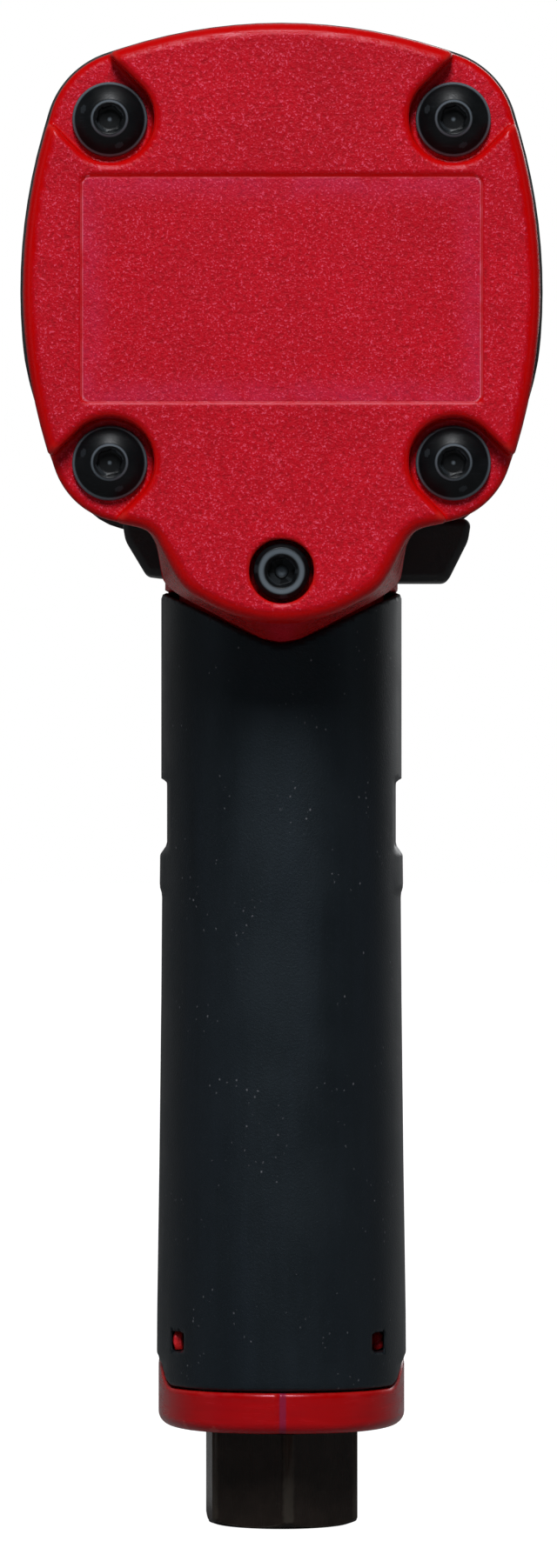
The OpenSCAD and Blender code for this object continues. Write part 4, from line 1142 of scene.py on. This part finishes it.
def housing_red(name, finishes, with_label):
    """Grained crimson faces with painted pale glints, and smooth pure red where the surface turns."""
    made, tree, out = new_material(name, Specular_IOR_Level=0.18, Specular_Tint=(1.0, 0.66, 0.82, 1.0))
    grain = effect(tree, "grain", Pebbles_per_mm=1.9, Speck_size=0.1)
    wear = effect(tree, "wear", Reach=0.05)
    flat = attribute(tree, "flatness")
    clouds = spread(tree, noise(tree, millimetres(tree), 0.11, 3.0), 0.3, 0.7)
    crimson = blend(tree, clouds, rgba(finishes.housing), rgba(finishes.housing, 0.86))
    glint, film = (0.9, 0.12, 0.22, 1.0), (0.62, 0.06, 0.2, 1.0)
    line, worn = (0.86, 0.3, 0.42, 1.0), (0.75, 0.08, 0.06, 1.0)
    # Painted highlight: pale pink glints on the tips of the grain
    face = laid_over(tree, crimson, grain["Specks"], 0.46, glint)
    shade = spread(tree, grain["Height"], 0.36, 0.5, 0.75, 0.0)
    face = blend(tree, shade, face, rgba(finishes.housing, 0.62))
    if with_label:
        label = effect(tree, "label")
        face = laid_over(tree, face, label["Film"], 0.16, film)
        # Painted highlight: a thin pale line along the edge of the label recess
        face = laid_over(tree, face, label["Line"], 0.95, line)
    colour = blend(tree, flat, rgba(finishes.gloss), face)
    colour = laid_over(tree, colour, wear["Wear"], 0.16, worn)
    feed(tree, out["Base Color"], colour)
    rough = spread(tree, grain["Height"], 0.3, 0.7, 0.52, 0.4)
    smooth = spread(tree, noise(tree, millimetres(tree), 0.5, 3.0), 0.3, 0.7, 0.22, 0.32)
    mixed = maths(tree, "ADD", maths(tree, "MULTIPLY", rough, flat),
                  maths(tree, "MULTIPLY", smooth, maths(tree, "SUBTRACT", 1.0, flat)))
    feed(tree, out["Roughness"], mixed)
    height = maths(tree, "MULTIPLY", grain["Height"], spread(tree, flat, 0.0, 1.0, 0.12, 1.0))
    feed(tree, out["Normal"], bump(tree, height, 0.16))
    return made


def foot_red(finishes):
    """Glossy red with faint flow lines from the mould."""
    made, tree, out = new_material("foot_red", Specular_IOR_Level=0.4, Specular_Tint=(0.95, 0.5, 0.66, 1.0))
    flow = noise(tree, vectors(tree, "MULTIPLY", millimetres(tree), (0.15, 0.15, 1.2)), 0.8, 3.0)
    wear = effect(tree, "wear", Reach=0.05)
    grime = effect(tree, "dust", Flecks_per_mm=0.4)
    deep, worn, seam = (0.2, 0.0, 0.01, 1.0), (0.7, 0.12, 0.1, 1.0), (0.2, 0.012, 0.05, 1.0)
    colour = blend(tree, spread(tree, flow, 0.3, 0.7), rgba(finishes.gloss, 0.7), rgba(finishes.gloss, 0.84))
    colour = laid_over(tree, colour, grime["Film"], 0.15, deep)
    colour = laid_over(tree, colour, wear["Wear"], 0.2, worn)
    across = tree.nodes.new("ShaderNodeSeparateXYZ")
    feed(tree, across.inputs[0], millimetres(tree))
    from_seam = maths(tree, "ABSOLUTE", maths(tree, "SUBTRACT", across.outputs["X"], 0.15))
    behind = maths(tree, "LESS_THAN", across.outputs["Y"], HANDLE_DEPTH + REAR_Y)
    band = maths(tree, "MULTIPLY", spread(tree, from_seam, 0.35, 0.5, 0.7, 0.0), behind)
    colour = blend(tree, band, colour, seam)
    feed(tree, out["Base Color"], colour)
    feed(tree, out["Roughness"], spread(tree, flow, 0.3, 0.7, 0.2, 0.3))
    feed(tree, out["Normal"], bump(tree, flow, 0.05, 0.4))
    return made


def grip_rubber(finishes):
    """Matt black rubber with a fine skin, blue-grey streaks of painted sheen, painted glints and flecks of
    dust.
    """
    made, tree, out = new_material(
        "grip_rubber", Specular_IOR_Level=0.36, Specular_Tint=(0.66, 0.86, 1.0, 1.0))
    grain = effect(tree, "grain", Pebbles_per_mm=3.2, Speck_size=0.05)
    grime = effect(tree, "dust", Flecks_per_mm=1.2, Stretch=(1.0, 1.0, 0.8))
    wear = effect(tree, "wear", Reach=0.05)
    streaks = noise(tree, vectors(tree, "MULTIPLY", millimetres(tree), (0.5, 0.5, 0.05)), 0.6, 4.0, 0.6)
    painted_sheen, film = (0.005, 0.0068, 0.0098, 1.0), (0.008, 0.0098, 0.012, 1.0)
    scuffed, glint, fleck = (0.03, 0.032, 0.034, 1.0), (0.03, 0.036, 0.042, 1.0), (0.2, 0.2, 0.22, 1.0)
    # Painted sheen: lighter blue-grey streaks down the rubber
    colour = blend(tree, spread(tree, streaks, 0.35, 0.7), rgba(finishes.rubber), painted_sheen)
    colour = laid_over(tree, colour, grime["Film"], 0.3, film)
    colour = laid_over(tree, colour, wear["Wear"], 0.35, scuffed)
    # Painted highlight: faint glints on the tips of the rubber's grain
    colour = laid_over(tree, colour, grain["Specks"], 0.4, glint)
    colour = laid_over(tree, colour, grime["Flecks"], 0.6, fleck)
    feed(tree, out["Base Color"], colour)
    rough = spread(tree, maths(tree, "ADD", streaks, grime["Film"]), 0.4, 1.5, 0.4, 0.54)
    feed(tree, out["Roughness"], rough)
    feed(tree, out["Normal"], bump(tree, grain["Height"], 0.06, 0.8))
    return made


def black_steel(name, colour, lines, upright, roughness, wear_and_highlight_colour):
    """Blackened steel: tool marks under the oxide, brighter metal on worn edges, and rings of painted
    highlight where the mesh carries them.
    """
    made, tree, out = new_material(name, Metallic=0.1, Specular_IOR_Level=0.17)
    marks = effect(tree, "marks", Lines_per_mm=lines, Upright=upright)
    wear = effect(tree, "wear", Reach=0.035, Break_up_per_mm=1.2)
    patches = spread(tree, noise(tree, millimetres(tree), 0.4, 4.0, 0.6), 0.3, 0.7)
    tone = blend(tree, patches, rgba(colour), rgba(colour, 1.7))
    tone = laid_over(tree, tone, marks["Scratches"], 0.06, rgba(wear_and_highlight_colour, 0.5))
    tone = laid_over(tree, tone, wear["Wear"], 0.1, rgba(wear_and_highlight_colour))
    # Painted highlight: the bright rings and dots on the screw heads
    tone = laid_over(tree, tone, attribute(tree, "painted_highlight"), 0.8, rgba(wear_and_highlight_colour))
    feed(tree, out["Base Color"], tone)
    feed(tree, out["Roughness"], spread(tree, marks["Lines"], 0.3, 0.7, roughness - 0.06, roughness + 0.08))
    feed(tree, out["Normal"], bump(tree, marks["Lines"], 0.02, 0.35))
    return made


def bright_steel(name, colour, lines, roughness, stain):
    """Machined or ground steel with turning lines and a little oil stain."""
    made, tree, out = new_material(name, Metallic=1.0)
    marks = effect(tree, "marks", Lines_per_mm=lines, Upright=0.0)
    wear = effect(tree, "wear", Reach=0.04)
    patches = spread(tree, noise(tree, millimetres(tree), 0.25, 4.0, 0.6), 0.35, 0.7)
    tone = blend(tree, spread(tree, marks["Lines"], 0.3, 0.7), rgba(colour, 0.9), rgba(colour, 1.06))
    tone = laid_over(tree, tone, patches, stain, rgba((0.12, 0.1, 0.08)))
    tone = laid_over(tree, tone, wear["Wear"], 0.5, rgba(colour, 1.35))
    feed(tree, out["Base Color"], tone)
    feed(tree, out["Roughness"], spread(tree, marks["Lines"], 0.3, 0.7, roughness - 0.05, roughness + 0.1))
    feed(tree, out["Normal"], bump(tree, marks["Lines"], 0.015, 0.3))
    return made


def cast_coat(finishes):
    """Dark paint over a fine cast skin, worn lighter on the corners."""
    made, tree, out = new_material("case_coat", Metallic=0.25, Specular_IOR_Level=0.5)
    grain = effect(tree, "grain", Pebbles_per_mm=1.9, Speck_size=0.02)
    wear = effect(tree, "wear", Reach=0.05, Break_up_per_mm=0.6)
    grime = effect(tree, "dust", Flecks_per_mm=0.3)
    tone = blend(tree, grime["Film"], rgba(finishes.case), rgba(finishes.case, 1.5))
    # Painted highlight: pale glints on the tips of the cast skin
    tone = laid_over(tree, tone, grain["Specks"], 0.2, rgba((0.16, 0.16, 0.17)))
    tone = laid_over(tree, tone, wear["Wear"], 0.6, rgba((0.3, 0.3, 0.31)))
    feed(tree, out["Base Color"], tone)
    feed(tree, out["Roughness"], spread(tree, grain["Height"], 0.3, 0.7, 0.5, 0.36))
    feed(tree, out["Normal"], bump(tree, grain["Height"], 0.09))
    return made


def plain_polymer(name, colour, grain_per_mm, roughness):
    """A moulded or pressed non-metal: fine grain, slow colour change and scuffed edges."""
    pale = (0.1, 0.1, 0.1)
    made, tree, out = new_material(name, Specular_IOR_Level=0.4)
    grain = effect(tree, "grain", Pebbles_per_mm=grain_per_mm, Speck_size=0.03)
    wear = effect(tree, "wear", Reach=0.05)
    grime = effect(tree, "dust", Flecks_per_mm=0.5)
    tone = blend(tree, grime["Film"], rgba(colour), rgba(colour, 1.5))
    tone = laid_over(tree, tone, wear["Wear"], 0.3, rgba(pale))
    tone = laid_over(tree, tone, grime["Flecks"], 0.3, rgba(pale, 1.6))
    feed(tree, out["Base Color"], tone)
    feed(tree, out["Roughness"], spread(tree, grain["Height"], 0.3, 0.7, roughness + 0.08, roughness - 0.06))
    feed(tree, out["Normal"], bump(tree, grain["Height"], 0.05, 0.7))
    return made


def inner_finish(slot):
    """The finish of an inner part, by its slot in the record."""
    name = "finish_" + slot
    known = bpy.data.materials.get(name)
    if known:
        return known
    steels = {
        "machined_steel": ((0.55, 0.56, 0.58), 5.0, 0.3, 0.15),
        "bearing_steel": ((0.72, 0.73, 0.75), 14.0, 0.14, 0.05),
        "spring_steel": ((0.6, 0.6, 0.62), 9.0, 0.22, 0.1),
        "hammer_steel": ((0.26, 0.26, 0.28), 3.5, 0.42, 0.35),
        "brass": ((0.78, 0.56, 0.24), 6.0, 0.26, 0.2),
    }
    others = {
        "black_gasket": ((0.012, 0.012, 0.012), 2.6, 0.6),
        "felt": ((0.3, 0.28, 0.24), 1.2, 0.92),
        "vane_resin": ((0.2, 0.1, 0.05), 2.2, 0.5),
    }
    if slot in steels:
        colour, lines, roughness, stain = steels[slot]
        return bright_steel(name, colour, lines, roughness, stain)
    colour, grain_per_mm, roughness = others[slot]
    return plain_polymer(name, colour, grain_per_mm, roughness)


# ---- Operators: one for each piece or group of like pieces ----


class PieceOperator:
    """What every piece's operator shares."""

    bl_options = {"REGISTER", "UNDO"}

    def execute(self, context):
        self.build(context.scene.wrench_head, context.scene.wrench_grip, context.scene.wrench_finishes)
        return {"FINISHED"}


def red_material(finishes, with_label=False):
    name = "cover_red" if with_label else "housing_red"
    return bpy.data.materials.get(name) or housing_red(name, finishes, with_label)


def screw_material(finishes):
    return bpy.data.materials.get("black_oxide") or black_steel(
        "black_oxide", finishes.oxide, 7.0, 0.0, 0.36, (0.13, 0.155, 0.18))


def button_material():
    return bpy.data.materials.get("button_black") or plain_polymer(
        "button_black", (0.007, 0.007, 0.008), 2.4, 0.42)


class WRENCH_OT_rear_cover(PieceOperator, bpy.types.Operator):
    """Moulds the rear cover"""

    bl_idname = "wrench.rear_cover"
    bl_label = "Rear Cover"

    def build(self, head, grip, finishes):
        low, high = (-34, 0, -46), (34, COVER_DEPTH, 35)
        made = moulded("cover_shell", cover_field(head), low, high, (0.5, 0.4, 0.5))
        fitted(made, "rear_cover", "housing", red_material(finishes, True))


class WRENCH_OT_motor_housing(PieceOperator, bpy.types.Operator):
    """Moulds the motor housing with the core of the handle"""

    bl_idname = "wrench.motor_housing"
    bl_label = "Motor Housing"

    def build(self, head, grip, finishes):
        made = moulded("housing_shell", housing_field, (-34, 15, -138), (34, 61, 35), (0.75, 0.75, 0.75))
        fitted(made, "motor_housing", "housing", red_material(finishes))


class WRENCH_OT_rear_gasket(PieceOperator, bpy.types.Operator):
    """Cuts the gasket that shows as a dark line round the head"""

    bl_idname = "wrench.rear_gasket"
    bl_label = "Rear Gasket"

    def build(self, head, grip, finishes):
        made = moulded("gasket_sheet", rear_gasket_field, (-34, 15, -47), (34, 16, 36), (0.5, 0.25, 0.5))
        fitted(made, "rear_gasket", "housing", inner_finish("black_gasket"))


class WRENCH_OT_grip_sleeve(PieceOperator, bpy.types.Operator):
    """Moulds the rubber grip"""

    bl_idname = "wrench.grip_sleeve"
    bl_label = "Rubber Grip"

    def build(self, head, grip, finishes):
        made = moulded("grip_rubber", sleeve_field(grip), (-17, 17, -141), (17, 61, -36), (0.5, 0.6, 0.6))
        fitted(made, "grip_sleeve", "housing", grip_rubber(finishes))


class WRENCH_OT_foot_ring(PieceOperator, bpy.types.Operator):
    """Moulds the glossy ring round the foot of the handle"""

    bl_idname = "wrench.foot_ring"
    bl_label = "Foot Ring"

    def build(self, head, grip, finishes):
        low, high = (-17, 17, FOOT_Z), (17, 61, -136)
        made = moulded("foot_shell", foot_field, low, high, (0.38, 0.4, 0.38))
        fitted(made, "base_ring", "housing", foot_red(finishes))


class WRENCH_OT_hammer_case(PieceOperator, bpy.types.Operator):
    """Casts the hammer case"""

    bl_idname = "wrench.hammer_case"
    bl_label = "Hammer Case"

    def build(self, head, grip, finishes):
        low, high = (-34, CASE_BACK, -34), (34, CASE_FRONT, 35)
        made = moulded("case_shell", case_field, low, high, (0.55, 0.55, 0.55))
        fitted(made, "hammer_case", "housing", cast_coat(finishes))


class WRENCH_OT_screws(PieceOperator, bpy.types.Operator):
    """Turns the four long case screws and the lower screw"""

    bl_idname = "wrench.screws"
    bl_label = "Screws"

    def build(self, head, grip, finishes):
        places = [(x * SCREW_AT, z * SCREW_AT) for x in (-1, 1) for z in (-1, 1)]
        # Rings of painted highlight, as radius and width: the outer edge, the socket's mouth and a dot at
        # its centre
        edges = ((SCREW_HEAD - 0.17, 0.17), (2.2, 0.12), (0, 0.2))
        long_screws = make_screws("button_screws", button_head_profile(), places, edges)
        fitted(long_screws, "case_screws", "housing", screw_material(finishes))
        # Rings of painted highlight on the cap screw: its flat face and a dot at the socket's centre
        edges = ((2.55, 0.33), (0, 0.55))
        lower = make_screws("cap_screw", cap_head_profile(), [(0, LOWER_SCREW_Z)], edges)
        fitted(lower, "lower_screw", "housing", screw_material(finishes))


class WRENCH_OT_inlet(PieceOperator, bpy.types.Operator):
    """Turns the threaded air inlet"""

    bl_idname = "wrench.inlet"
    bl_label = "Air Inlet"

    def build(self, head, grip, finishes):
        oxide = black_steel("inlet_oxide", finishes.inlet, 2.2, 1.0, 0.24, (0.3, 0.27, 0.22))
        fitted(make_inlet(), "inlet_bushing", "housing", oxide)


class WRENCH_OT_drive(PieceOperator, bpy.types.Operator):
    """Forges the anvil with its square drive, and springs the socket ring into its groove"""

    bl_idname = "wrench.drive"
    bl_label = "Square Drive"

    def build(self, head, grip, finishes):
        low, high = (-11, HAMMER_BACKS[0] - 0.2, -11), (11, DRIVE_TIP, 11)
        anvil = moulded("anvil_drive", anvil_field, low, high, (0.36, 0.36, 0.36))
        steel = bright_steel("drive_steel", (0.2, 0.2, 0.21), 4.0, 0.34, 0.3)
        fitted(anvil, "anvil", "anvil_body", steel)
        low, high = (-8, GROOVE[0], -8), (8, GROOVE[1], 8)
        ring = moulded("ring_spring", socket_ring_field, low, high, (0.17, 0.17, 0.17))
        fitted(ring, "socket_ring", "anvil_body", inner_finish("bearing_steel"))


class WRENCH_OT_trigger(PieceOperator, bpy.types.Operator):
    """Moulds the trigger"""

    bl_idname = "wrench.trigger"
    bl_label = "Trigger"

    def build(self, head, grip, finishes):
        low, high = (-9, 51, -68), (9, 73, -44)
        made = moulded("trigger_pad", trigger_field, low, high, (0.35, 0.35, 0.35))
        fitted(made, "trigger", "trigger_body", button_material())


class WRENCH_OT_reverse_bar(PieceOperator, bpy.types.Operator):
    """Moulds the two ends of the reverse bar"""

    bl_idname = "wrench.reverse_bar"
    bl_label = "Reverse Bar"

    def build(self, head, grip, finishes):
        for side, word in ((-1, "left"), (1, "right")):
            node = "reverse_button_" + word
            low = (node_span(node, 0)[0] - 0.2, REVERSE_DEPTH - BUTTON_HALF_DEPTH, -36)
            high = (node_span(node, 0)[1] + 0.2, REVERSE_DEPTH + BUTTON_HALF_DEPTH, -27)
            made = moulded("reverse_end_" + word, button_field(side), low, high, (0.28, 0.28, 0.28))
            fitted(made, node, "reverse_bar", button_material())


class WRENCH_OT_inner_parts(PieceOperator, bpy.types.Operator):
    """Gives the motor, hammers, valves, bearings and seals their finishes"""

    bl_idname = "wrench.inner_parts"
    bl_label = "Inner Parts"

    def build(self, head, grip, finishes):
        slots = {part["node"]: part["material_slot"] for part in frame["record"]["subparts"]}
        for name, node in frame["nodes"].items():
            if node.hide_render:
                continue
            finish = inner_finish(slots[name])
            for place in node.material_slots:
                place.material = finish


def soft_light(name, place, width, height, power, colour=(1, 1, 1)):
    """A soft box that points at the middle of the tool and doesn't show itself."""
    lamp = bpy.data.lights.new(name, "AREA")
    lamp.shape = "RECTANGLE"
    lamp.size, lamp.size_y = width, height
    lamp.energy = power
    lamp.color = colour
    made = bpy.data.objects.new(name, lamp)
    made.location = place
    aim = (CAD_MIDDLE[0] - place[0], CAD_MIDDLE[1] - place[1], CAD_MIDDLE[2] - place[2])
    made.rotation_euler = Vector(aim).to_track_quat("-Z", "Y").to_euler()
    made.visible_camera = False
    bpy.context.scene.collection.objects.link(made)


def studio_world():
    """White all round to the eye; what lights the tool is bright behind it and dim in front."""
    world = bpy.data.worlds.new("studio")
    world.use_nodes = True
    tree = world.node_tree
    back = tree.nodes["Background"]
    direction = tree.nodes.new("ShaderNodeTexCoord").outputs["Generated"]
    parts = tree.nodes.new("ShaderNodeSeparateXYZ")
    feed(tree, parts.inputs[0], direction)
    ahead = spread(tree, parts.outputs["Y"], -0.2, 0.9, 0.02, 0.22, smooth=True)
    light = blend(tree, ahead, (0.0, 0.0, 0.0, 1.0), (1.0, 1.0, 1.0, 1.0))
    seen = tree.nodes.new("ShaderNodeLightPath").outputs["Is Camera Ray"]
    feed(tree, back.inputs["Color"], blend(tree, seen, light, (1.0, 1.0, 1.0, 1.0)))
    bpy.context.scene.world = world


def floor_material(finishes):
    """Pale seamless paper with a barely visible tooth."""
    made, tree, out = new_material("floor_paper", Specular_IOR_Level=0.1)
    tooth = noise(tree, millimetres(tree), 0.8, 4.0)
    cloud = noise(tree, millimetres(tree), 0.004, 3.0)
    paper = blend(tree, cloud, rgba(finishes.floor, 0.3), rgba(finishes.floor, 0.33))
    feed(tree, out["Base Color"], paper)
    feed(tree, out["Roughness"], spread(tree, tooth, 0.3, 0.7, 0.85, 0.95))
    feed(tree, out["Normal"], bump(tree, tooth, 0.05, 0.3))
    seen = tree.nodes.new("ShaderNodeLightPath").outputs["Is Camera Ray"]
    feed(tree, out["Emission Color"], blend(tree, seen, (0.0, 0.0, 0.0, 1.0), (1.0, 1.0, 1.0, 1.0)))
    out["Emission Strength"].default_value = 1.0
    return made


# The camera stands square behind the rear face; its lens is in millimetres, the rest in metres
CAMERA_DISTANCE = 0.892
CAMERA_X = -0.00038
CAMERA_Z = -0.062
CAMERA_LENS = 163.3


class WRENCH_OT_stage(bpy.types.Operator):
    """Sets the floor, the lights, the world and the camera"""

    bl_idname = "wrench.stage"
    bl_label = "Studio"
    bl_options = {"REGISTER", "UNDO"}

    def execute(self, context):
        sides, reach = 96, 6.0 / MM
        turned = 2 * math.pi * np.arange(sides) / sides
        rim = np.stack([reach * np.cos(turned), reach * np.sin(turned), np.full(sides, INLET_Z - 0.1)], 1)
        floor = object_from("floor", rim, [range(sides)])
        floor.data.materials.append(floor_material(context.scene.wrench_finishes))
        soft_light("key_box", (-0.03, -1.25, 1.1), 0.4, 0.8, 28, (0.97, 0.985, 1.0))
        soft_light("left_box", (-1.5, -0.6, 0.35), 0.6, 1.2, 1.2, (0.93, 0.95, 1.0))
        soft_light("right_box", (1.5, -0.6, 0.3), 0.5, 1.2, 0.7, (0.95, 0.97, 1.0))
        soft_light("nose_box", (0.5, 1.3, 0.5), 1.0, 1.0, 6)
        studio_world()
        lens = bpy.data.cameras.new("camera")
        lens.sensor_fit = "VERTICAL"
        lens.sensor_height = 36.0
        lens.lens = CAMERA_LENS
        lens.clip_end = 100
        camera = bpy.data.objects.new("camera", lens)
        camera.location = (CAMERA_X, REAR_Y * MM - CAMERA_DISTANCE, CAMERA_Z)
        camera.rotation_euler = (math.radians(90), 0, 0)
        context.scene.collection.objects.link(camera)
        context.scene.camera = camera
        context.scene.view_settings.view_transform = "Standard"
        return {"FINISHED"}


PIECES = (WRENCH_OT_rear_cover, WRENCH_OT_motor_housing, WRENCH_OT_rear_gasket, WRENCH_OT_grip_sleeve,
          WRENCH_OT_foot_ring, WRENCH_OT_hammer_case, WRENCH_OT_screws, WRENCH_OT_inlet,
          WRENCH_OT_drive, WRENCH_OT_trigger, WRENCH_OT_reverse_bar, WRENCH_OT_inner_parts,
          WRENCH_OT_stage)
SETTINGS = {"wrench_head": HeadSizes, "wrench_grip": GripSizes, "wrench_finishes": Finishes}


class WRENCH_PT_panel(bpy.types.Panel):
    """Lists the settings and the pieces"""

    bl_idname = "WRENCH_PT_panel"
    bl_label = "Air Impact Wrench"
    bl_space_type = "VIEW_3D"
    bl_region_type = "UI"
    bl_category = "Impact Wrench"

    def draw(self, context):
        for setting in SETTINGS:
            box = self.layout.box()
            group = getattr(context.scene, setting)
            for name in type(group).__annotations__:
                box.prop(group, name)
        for piece in PIECES:
            self.layout.operator(piece.bl_idname)


def register():
    for kind in (*SETTINGS.values(), *PIECES, WRENCH_PT_panel):
        bpy.utils.register_class(kind)
    for setting, kind in SETTINGS.items():
        setattr(bpy.types.Scene, setting, PointerProperty(type=kind))


def unregister():
    for setting in SETTINGS:
        delattr(bpy.types.Scene, setting)
    for kind in reversed((*SETTINGS.values(), *PIECES, WRENCH_PT_panel)):
        bpy.utils.unregister_class(kind)


def main():
    register()
    for piece in PIECES:
        family, name = piece.bl_idname.split(".")
        getattr(getattr(bpy.ops, family), name)()
    bpy.context.view_layer.update()


if __name__ == "__main__":
    main()
